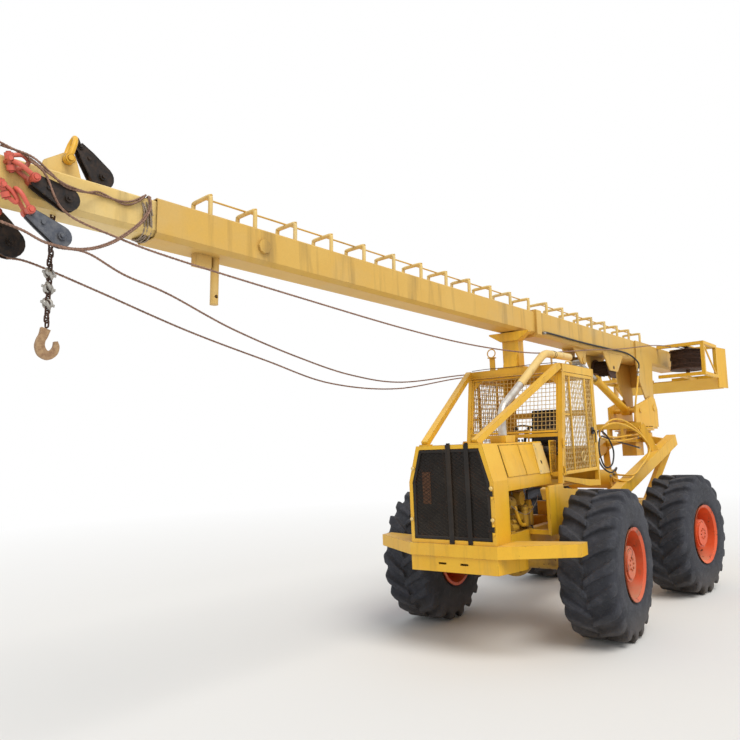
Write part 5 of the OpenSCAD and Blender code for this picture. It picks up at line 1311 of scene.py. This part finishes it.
def chain_link(piece, middle, length, radius, turn):
    """A long link about middle, hanging down, turned about the vertical."""
    spin = Matrix.Rotation(turn, 3, "Z")
    points = []
    for k in range(10):
        a = 2 * math.pi * (k + 0.5) / 10
        up = math.sin(a) * length * 0.30 + math.copysign(0.2 * length, math.sin(a))
        points.append(Vector(middle) + spin @ Vector((math.cos(a) * length * 0.30, 0, up)))
    piece.tube(points + [points[0]], radius, sides=8, steps=2)


LINK = 0.058
chain = Piece("hook_chain", "boom_tip", rope_iron, BOOM, slot="rusty_rope")
for i in range(24):
    at = (HANG_S + 0.004 * math.sin(i * 2.1), 0.004 * math.cos(i * 1.7), HANG_TOP - 0.01 - i * LINK * 0.62)
    chain_link(chain, at, LINK, 0.0068, (i % 2) * math.pi / 2 + 0.3)
chain.done()
knots = Piece("chain_shackles", "boom_tip", zinc, BOOM, slot="zinc")
for u, turn in ((-0.605, 0.1), (-0.715, 0.8), (-0.835, -0.3)):
    for k in range(3):
        spin = turn + k * 1.05
        knots.ring((HANG_S, 0, u + 0.012 * (k - 1)), (math.cos(spin), math.sin(spin), 0.5 * (k - 1)),
                   0.030, 0.012, 20, 8)
    knots.rod((HANG_S - 0.05, 0, u - 0.01), (HANG_S + 0.05, 0, u + 0.012), 0.011)
knots.done()
hook = Piece("tip_hook", "boom_tip", hook_iron, BOOM, slot="hook_iron")
# middle line of the hook; columns: along the boom, height, half thickness
HOOK = ((0.005, -1.025, 0.034), (0.018, -1.075, 0.030), (0.035, -1.115, 0.030), (0.040, -1.160, 0.033),
        (0.020, -1.205, 0.035), (-0.022, -1.222, 0.034), (-0.062, -1.195, 0.028), (-0.078, -1.150, 0.021),
        (-0.072, -1.112, 0.012))
rim = [[], []]
for i, (x, z, thick) in enumerate(HOOK):
    x0, z0, _ = HOOK[max(i - 1, 0)]
    x1, z1, _ = HOOK[min(i + 1, len(HOOK) - 1)]
    along_hook = Vector((x1 - x0, z1 - z0)).normalized()
    rim[0].append((HANG_S + x - along_hook.y * thick, z + along_hook.x * thick))
    rim[1].append((HANG_S + x + along_hook.y * thick, z - along_hook.x * thick))
outer, inner_side = ([(p.x, p.y) for p in smooth_path([(*q, 0) for q in side], 4)] for side in rim)
for i in range(len(outer) - 1):
    hook.slab([outer[i], inner_side[i], inner_side[i + 1], outer[i + 1]], 0.036, face_y(0.018), 0)
hook.done()

# %% Wire ropes along the boom
ROPES = (
    ("long_rope_near", [(10.71, 0.235, 0.13), (10.60, 0.262, 0.05), (10.44, 0.25, -0.19), (10.03, 0.21, -0.27),
                        (9.45, 0.19, -0.33), (8.05, 0.16, -0.41), (6.6, 0.24, -0.52), (5.4, 0.33, -0.57),
                        (4.1, 0.37, -0.52), (2.9, 0.31, -0.35), (2.05, 0.255, -0.22), (0.9, 0.24, -0.066),
                        (-0.45, 0.31, 0.152), (-1.0, 0.5, 0.16), (-1.2, 0.63, 0.13)]),
    ("long_rope_low", [(10.45, 0.205, -0.455), (10.20, 0.12, -0.42), (9.85, 0.02, -0.50), (9.4, -0.05, -0.57),
                       (8.6, -0.25, -0.73), (7.6, -0.45, -0.87), (6.6, -0.62, -0.96), (5.4, -0.86, -0.92),
                       (3.9, -0.92, -0.68), (2.6, -0.7, -0.52), (1.5, -0.25, -0.47), (1.08, -0.06, -0.50)]),
    ("long_rope_far", [(10.66, -0.22, -0.48), (10.45, -0.28, -0.47), (9.9, -0.36, -0.57), (8.93, -0.5, -0.76),
                       (7.9, -0.62, -0.92), (6.8, -0.78, -1.06), (5.4, -0.96, -1.0), (3.9, -1.0, -0.72),
                       (2.6, -0.78, -0.53), (1.5, -0.3, -0.45), (1.0, -0.02, -0.53)]),
)
for name, points in ROPES:
    made, path = rope(name, None, points, 0.0105, BOOM, None, 0.028, 0.11)
    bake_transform(made)

twist = [(10.89, 0.18, 0.22), (10.71, 0.235, 0.145), (10.58, 0.268, 0.06), (10.46, 0.272, 0.01), (10.30, 0.225, 0.015),
         (10.16, 0.172, 0.045), (9.95, 0.168, 0.05), (9.84, 0.165, 0.10), (9.76, 0.12, 0.165), (9.73, 0.02, 0.175)]
other = [(s - 0.01, n + 0.014 * math.sin(s * 13), u + 0.021 * math.cos(s * 13)) for s, n, u in twist]
loop = [(9.70, 0.02, 0.170), (9.72, 0.12, 0.172), (9.75, 0.19, 0.13), (9.76, 0.215, 0.03), (9.86, 0.24, -0.13),
        (10.09, 0.27, -0.34), (10.33, 0.29, -0.455), (10.57, 0.28, -0.46), (10.74, 0.26, -0.40), (10.95, 0.22, -0.35),
        (11.15, 0.12, -0.30), (11.33, 0.05, -0.14)]
# the lashed ropes hold on to the middle section's end and to the blocks
LASHED = (("twist_one", twist), ("twist_two", other), ("loop_one", loop),
          ("loop_two", [(s, n + 0.024, u - 0.014) for s, n, u in loop]))
for name, points in LASHED:
    made, path = rope(name, None, points, 0.0098, BOOM, None, 0.024, 0.11)
    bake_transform(made)
HALF_COIL = 0.166
coil = []
for k in range(85):
    turn = k / 14 * 2 * math.pi
    reach = HALF_COIL + 0.012 * math.sin(k * 0.71)
    squared = max(abs(math.cos(turn)), abs(math.sin(turn)))
    coil.append((9.74 + 0.013 * (k / 14 - 3) + 0.035 * math.sin(turn), reach * math.cos(turn) * (1.12 - 0.12 * squared),
                 reach * math.sin(turn) * (1.12 - 0.12 * squared)))
rope("tip_coil", "boom", coil, 0.009, BOOM, pale_strand, 0.024, 0.11)

# %% Rope on the reels and the winch
def windings(name, body, centre, axis, place, low, high, radius, wire):
    """A helix of rope wound on a drum between low and high along its axis."""
    base = place @ along(centre, Vector(centre) + Vector(axis))
    turns = (high - low) / (wire * 2.04)
    points = []
    for k in range(int(turns * 28) + 1):
        a = 2 * math.pi * k / 28
        points.append(base @ Vector((radius * math.cos(a), radius * math.sin(a), low + wire * 2.04 * k / 28)))
    mesh = grown(rope_tree, line_mesh(points), rope_iron, Radius=wire, Lay=wire * 12, Step=0.05)
    made = object_of(mesh, name, body, smooth=False)
    print(name, round(turns, 1), "turns,", len(mesh.polygons), "faces")
    return made


for side, hand in (("left", 1), ("right", -1)):
    for i in range(4):
        low = -0.245 + i * 0.085
        windings("reel_rope_%s_%d" % (side, i), "reel_" + side, (-1.27, hand * 0.61, 0), (0, 0, 1), BOOM, low + 0.008,
                 low + 0.076, 0.29 - (i % 2) * 0.012 + 0.006, 0.008)
windings("winch_rope", "winch_drum", (1.05, 0, -0.40), (0, 1, 0), BOOM, -0.125, 0.125, 0.128, 0.0085)

# %% [markdown]
# ## Engine bay
# The sides of the engine bay are open, so its hoses, filters, belts and wires show. They are laid out
# the way a big in-line diesel carries them: coolant hoses at the top front, belts and alternator ahead,
# filters low on the left, injector lines along the head.

# %% Engine dressing
pipes = Piece("engine_pipes", "front_frame", yellow, slot="engine_paint")
pipes.tube([(1.14, 0.16, 1.97), (1.08, 0.2, 1.99), (1.0, 0.27, 1.93), (0.9, 0.30, 1.82), (0.80, 0.27,
    1.74), (0.76, 0.2, 1.72)],
           0.034, 16)
pipes.tube([(1.14, 0.12, 1.42), (1.08, 0.2, 1.38), (0.98, 0.28, 1.42), (0.93, 0.28, 1.50), (0.88, 0.24,
    1.54)], 0.032, 16)
pipes.tube([(0.62, 0.29, 1.70), (0.70, 0.36, 1.60), (0.66, 0.38, 1.46), (0.55, 0.37, 1.38), (0.40, 0.34,
    1.36)], 0.022, 14)
pipes.done()
filters = Piece("engine_filters", "front_frame", engine_paint, slot="engine_paint")
for x, radius, top in ((0.22, 0.052, 1.58), (0.36, 0.052, 1.58)):
    filters.turned([(0, radius * 0.86), (0.012, radius), (0.19, radius), (0.2, radius * 0.92), (0.204, radius * 1.08),
                    (0.24, radius * 1.08), (0.246, radius * 0.7)], (x, 0.33, top - 0.24), (x, 0.33, top), 28)
    filters.box((x - 0.04, 0.255, top - 0.02), (x + 0.04, 0.36, top + 0.02), 0.006)
filters.rod((0.70, 0.31, 1.66), (0.88, 0.31, 1.66), 0.075).rod((0.88, 0.31, 1.66), (0.90, 0.31, 1.66), 0.05)
filters.rod((0.60, 0.30, 1.36), (0.78, 0.30, 1.36), 0.06).rod((0.64, 0.33, 1.43), (0.76, 0.33, 1.43), 0.028)
for k in range(6):
    filters.box((0.115 + k * 0.14, 0.2, 1.80), (0.155 + k * 0.14, 0.232, 1.87), 0.006)
filters.done()
belt = Piece("fan_belts", "front_frame", hose_rubber, slot="hose_rubber")
for x in (0.958, 0.974):
    belt.tube([(x, 0.0, 1.712), (x, 0.11, 1.71), (x, 0.30, 1.703), (x, 0.345, 1.66), (x, 0.30, 1.618), (x, 0.10, 1.50),
               (x, 0.0, 1.487), (x, -0.09, 1.53), (x, -0.112, 1.6), (x, -0.09, 1.67), (x, 0.0, 1.712)], 0.006, 8, 5)
belt.done()
wheel = Piece("belt_wheel", "front_frame", steel, slot="bright_rod")
wheel.turned([(0, 0.042), (0.01, 0.042), (0.02, 0.036), (0.03, 0.042), (0.04, 0.042)],
             (0.945, 0.31, 1.66), (1.0, 0.31, 1.66), 28)
wheel.rod((0.9, 0.31, 1.66), (0.945, 0.31, 1.66), 0.016)
wheel.done()
lines = Piece("engine_lines", "front_frame", zinc, slot="zinc")
for k in range(6):
    x = 0.135 + k * 0.14
    lines.tube([(0.42 + k * 0.02, 0.275, 1.60), (0.42 + k * 0.02, 0.30, 1.66), (x + 0.05, 0.285, 1.76), (x, 0.25, 1.86),
                (x, 0.22, 1.872)], 0.0045, 8)
lines.tube([(1.1, 0.36, 1.98), (0.8, 0.395, 1.93), (0.45, 0.39, 1.80), (0.1, 0.38, 1.84), (-0.04, 0.35,
    1.86)], 0.004, 8)
lines.tube([(0.95, 0.35, 1.70), (0.7, 0.41, 1.55), (0.4, 0.40, 1.50), (0.05, 0.37, 1.62), (-0.04, 0.35,
    1.70)], 0.004, 8)
lines.done()
hoses = Piece("engine_hoses", "front_frame", hose_rubber, slot="hose_rubber")
hoses.tube([(0.22, 0.35, 1.36), (0.24, 0.37, 1.28), (0.4, 0.36, 1.26), (0.7, 0.34, 1.28), (0.85, 0.30,
    1.34), (0.86, 0.26, 1.42)],
           0.013, 12)
hoses.tube([(-0.05, 0.25, 1.9), (0.1, 0.3, 1.86), (0.2, 0.31, 1.74), (0.25, 0.33, 1.62)], 0.012, 12)
hoses.done()
clamps = Piece("hose_clamps", "front_frame", zinc, slot="zinc")
for centre, axis, size in (((1.122, 0.17, 1.975), (-1, 0.5, 0.2), 0.037), ((0.79, 0.26, 1.735), (-1,
    -0.9, -0.5), 0.037),
                           ((1.122, 0.145, 1.41), (-1, 1, -0.4), 0.035), ((0.90, 0.26, 1.525), (-1, -0.9, 0.9), 0.035)):
    reach = Vector(axis).normalized() * 0.008
    clamps.rod(Vector(centre) - reach, Vector(centre) + reach, size, 24)
clamps.done()

# %% [markdown]
# ## Hydraulic hoses
# Hoses leave the reservoir and the frame, loop round the slewing base and follow the boom. Three are
# painted yellow and the rest are black rubber, all with zinc fittings at each end, and they hang in the
# slack curves seen under the turret.

# %% Hoses
HOSES = (
    ("rear_frame", REAR, 0.015, [(-2.66, 0.37, 1.80), (-2.60, 0.52, 1.74), (-2.62, 0.69, 1.72), (-2.95, 0.70, 1.86),
                                 (-3.30, 0.70, 2.04), (-3.42, 0.69, 2.22), (-3.22, 0.66, 2.46), (-2.85, 0.62, 2.64),
                                 (-2.50, 0.58, 2.68), (-2.34, 0.50, 2.58), (-2.50, 0.40, 2.46), (-3.0, 0.33, 2.40),
                                 (-3.6, 0.30, 2.42), (-4.1, 0.25, 2.44)]),
    ("rear_frame", REAR, 0.015, [(-2.76, 0.37, 1.82), (-2.74, 0.55, 1.80), (-2.78, 0.71, 1.81), (-3.0, 0.73, 1.92),
                                 (-3.30, 0.74, 2.10), (-3.36, 0.73, 2.24), (-3.14, 0.69, 2.44), (-2.80, 0.65, 2.57),
                                 (-2.42, 0.62, 2.62), (-2.20, 0.52, 2.54), (-2.36, 0.42, 2.40), (-3.0, 0.36, 2.34),
                                 (-3.6, 0.32, 2.36), (-4.15, 0.20, 2.38)]),
    ("rear_frame", REAR, 0.013, [(-2.90, 0.33, 1.82), (-2.72, 0.46, 1.92), (-2.40, 0.52, 1.86), (-2.12, 0.52, 1.98),
                                 (-2.02, 0.50, 2.24), (-2.16, 0.48, 2.50), (-2.46, 0.46, 2.44), (-2.62, 0.48, 2.20),
                                 (-2.50, 0.50, 1.98), (-2.26, 0.50, 1.96), (-2.16, 0.48, 2.20), (-2.4, 0.40, 2.42),
                                 (-3.0, 0.28, 2.36), (-4.18, 0.20, 2.2)]),
    ("turret", TURRET, 0.016, [(0.42, 0.20, 2.60), (0.60, 0.28, 2.74), (0.66, 0.34, 3.0), (0.50, 0.33, 3.3),
                               (0.38, 0.31, 3.5)]),
    ("boom", BOOM, 0.014, [(0.40, 0.33, -0.42), (0.30, 0.30, -0.25), (0.5, 0.205, -0.10), (1.2, 0.205, -0.10),
                           (2.2, 0.205, -0.115), (3.3, 0.205, -0.11), (3.45, 0.205, -0.13)]),
    ("boom", BOOM, 0.014, [(0.40, -0.33, -0.42), (0.30, -0.30, -0.25), (0.5, -0.205, -0.10), (1.2, -0.205, -0.10),
                           (2.2, -0.205, -0.115), (3.3, -0.205, -0.11), (3.45, -0.205, -0.13)]),
)
for number, (body, place, radius, points) in enumerate(HOSES):
    skin, slot = ((yellow, "yellow_paint") if number in (0, 1, 3) else (hose_rubber, "hose_rubber"))
    hose = Piece("hose_%d" % number, body, skin, place, slot=slot)
    hose.tube(points, radius)
    hose.done()
    ends = Piece("hose_ends_%d" % number, body, zinc, place, slot="zinc")
    for one, two in ((points[0], points[1]), (points[-1], points[-2])):
        one, two = Vector(one), Vector(two)
        way = (two - one).normalized()
        ends.rod(one - way * 0.01, one + way * 0.055, radius * 1.25, 16).rod(one + way * 0.0, one + way * 0.022,
                                                                          radius * 1.6, 6)
    ends.done()

# %% Small things on roof, hood and frame
small = Piece("hood_fittings", "front_frame", yellow)
small.rod((0.98, -0.1, 2.385), (0.98, -0.1, 2.41), 0.055).rod((0.98, -0.1, 2.41), (0.98, -0.1, 2.425), 0.048)
small.done()
lamp = Piece("lamp_bracket", "front_frame", yellow)
lamp.box((-0.34, -0.36, 3.41), (-0.32, -0.28, 3.60), 0.003).box((-0.36, -0.37, 3.59), (-0.28, -0.27, 3.605), 0.003)
lamp.ring((-0.31, -0.32, 3.66), (1, 0, 0.1), 0.06, 0.008)
lamp.done()
grab = Piece("roof_handle", "front_frame", cream, slot="cream_paint")
grab.tube([(-0.62, 0.64, 3.415), (-0.62, 0.645, 3.46), (-0.66, 0.65, 3.475), (-0.80, 0.65, 3.475), (-0.84, 0.645, 3.46),
           (-0.84, 0.64, 3.415)], 0.010)
grab.done()
roof_points = [(-0.27, -0.62, 3.43), (-0.262, -0.35, 3.437), (-0.265, 0.0, 3.43), (-0.262, 0.3, 3.436),
    (-0.27, 0.6, 3.43),
               (-0.30, 0.66, 3.42), (-0.6, 0.672, 3.428), (-1.1, 0.668, 3.43)]
rope("roof_rope", "front_frame", roof_points, 0.006, GROUND, rusty_iron, 0.02, 0.08)

# %% Cab controls
knob = Piece("lever_knobs", "front_frame", hose_rubber, slot="hose_rubber")
for y in (-0.09, 0.09):
    knob.turned([(-0.024, 0.004), (-0.016, 0.018), (0, 0.025), (0.016, 0.018), (0.024, 0.004)], (-0.50, y, 2.57),
                (-0.503, y, 2.7), 24)
    knob.turned([(0, 0.045), (0.012, 0.04), (0.024, 0.03), (0.036, 0.02), (0.05, 0.012)],
                (-0.47, y, 2.329), (-0.474, y, 2.4), 24)
for k in range(4):
    knob.rod((-0.56 + 0.002, -0.19 + k * 0.05, 2.328), (-0.558, -0.19 + k * 0.05, 2.40), 0.006).rod(
        (-0.558, -0.19 + k * 0.05, 2.40), (-0.558, -0.19 + k * 0.05, 2.425), 0.013)
knob.done()
panel = Piece("dash_gauges", "front_frame", black_paint, slot="black_paint")
panel.box((-0.60, -0.22, 2.33), (-0.42, 0.22, 2.345), 0.004)
for k in range(4):
    y = -0.15 + k * 0.1
    panel.turned([(0, 0.04), (0.014, 0.04), (0.018, 0.036)], (-0.562, y, 2.24), (-0.7, y, 2.24), 28)
panel.done()
wheel = Piece("steering_wheel", "front_frame", hose_rubber, slot="hose_rubber")
wheel.ring((-0.62, 0, 2.53), (-0.5, 0, 0.87), 0.17, 0.014, 48, 12)
for a in (0.3, 2.4, 4.5):
    tilt_m = along((-0.62, 0, 2.53), Vector((-0.62, 0, 2.53)) + Vector((-0.5, 0, 0.87)))
    wheel.rod((-0.62, 0, 2.53), tilt_m @ Vector((0.17 * math.cos(a), 0.17 * math.sin(a), 0)), 0.009, 12)
wheel.rod((-0.52, 0, 2.33), (-0.62, 0, 2.53), 0.02).rod((-0.615, 0, 2.515), (-0.63, 0, 2.545), 0.035)
wheel.done()

# %% Bolts and valves
seats = []
for k in range(24):
    a = 2 * math.pi * (k + 0.5) / 24
    seats.append(((0.31 * math.cos(a), 0.31 * math.sin(a), 2.56), (0, 0, 1)))
seats = [row for row in seats if abs(row[0][1]) < 0.20 or abs(row[0][1]) > 0.27]
bolts("slew_ring_bolts", "turret", seats, 0.014, 0.012, TURRET, dark_iron)
seats = [((3.545, n, u), f) for n, u, f in (
    [(side * 0.186, u, (0, side, 0)) for side in (-1, 1) for u in (-0.11, -0.04, 0.04, 0.11)]
    + [(n, side * 0.186, (0, 0, side)) for side in (-1, 1) for n in (-0.11, -0.04, 0.04, 0.11)])]
bolts("collar_bolts", "boom", seats, 0.012, 0.01, BOOM, cream)
for name, x, hand, base in WHEELS:
    place = wheel_place(x, hand, base)
    seats = [((0.07 * math.cos(a), 0.07 * math.sin(a), 0.292), (0, 0, 1))
             for a in (2 * math.pi * k / 8 for k in range(8))]
    bolts("hub_bolts_" + name, "wheel_" + name, seats, 0.010, 0.009, place, orange)
    valve = Piece("valve_" + name, "wheel_" + name, dark_iron, place, slot="dark_iron")
    valve.tube([(0.33, 0, 0.14), (0.335, 0, 0.19), (0.325, 0.01, 0.24)], 0.007, 10)
    valve.done()

# %% [markdown]
# ## Studio
# A pale floor that runs out to white, an even sky and one large soft sun from the camera's right. What
# the camera sees of the sky is plain white; metal sees the same white in its reflections.

# %% Floor, sky and sun
floor_mesh = bpy.data.meshes.new("floor")
FLOOR_HALF = 90.0
floor_mesh.from_pydata([(x, y, 0) for x, y in ((-1, -1), (1, -1), (1, 1), (-1, 1))], [], [(0, 1, 2, 3)])
floor_mesh.transform(Matrix.Scale(FLOOR_HALF, 4))
floor = bpy.data.objects.new("floor", floor_mesh)
bpy.context.collection.objects.link(floor)
floor_paint, tree, shader = new_material("studio_floor")
shader.inputs["Base Color"].default_value = rgb(0.80, 0.79, 0.77)
shader.inputs["Roughness"].default_value = 0.9
place = add(tree, "ShaderNodeTexCoord").outputs["Object"]
away = add(tree, "ShaderNodeVectorMath", {0: place}, operation="LENGTH").outputs["Value"]
seen = add(tree, "ShaderNodeLightPath")
white = add(tree, "ShaderNodeEmission", {"Color": rgb(1, 1, 1), "Strength": 1.0})
far = math_node(tree, "MULTIPLY", scaled(tree, away, 7.0, 22.0), seen.outputs["Is Camera Ray"])
both = add(tree, "ShaderNodeMixShader", {0: far, 1: shader.outputs[0], 2: white.outputs[0]})
tree.links.new(both.outputs[0], tree.nodes["Material Output"].inputs["Surface"])
floor_mesh.materials.append(floor_paint)

world = bpy.data.worlds.new("studio")
bpy.context.scene.world = world
world.use_nodes = True
tree = world.node_tree
tree.nodes.clear()
seen = add(tree, "ShaderNodeLightPath")
direct = math_node(tree, "MAXIMUM", seen.outputs["Is Camera Ray"], math_node(
    tree, "MAXIMUM", seen.outputs["Is Glossy Ray"], seen.outputs["Is Transmission Ray"]))
sky = add(tree, "ShaderNodeBackground", {"Color": rgb(0.93, 0.96, 1.0), "Strength": 0.62})
backdrop = add(tree, "ShaderNodeBackground", {"Color": rgb(1, 1, 1), "Strength": 1.0})
both = add(tree, "ShaderNodeMixShader", {0: direct, 1: sky.outputs[0], 2: backdrop.outputs[0]})
out = add(tree, "ShaderNodeOutputWorld", {"Surface": both.outputs[0]})

sun_data = bpy.data.lights.new("sun", "SUN")
sun_data.energy = 1.9
sun_data.angle = math.radians(35)
sun_data.color = (1.0, 0.97, 0.92)
sun = bpy.data.objects.new("sun", sun_data)
bpy.context.collection.objects.link(sun)
sun.rotation_euler = Vector((-0.35, -0.75, -1.25)).to_track_quat("-Z", "Y").to_euler()
bpy.context.scene.view_settings.view_transform = "Standard"
print("studio ready")
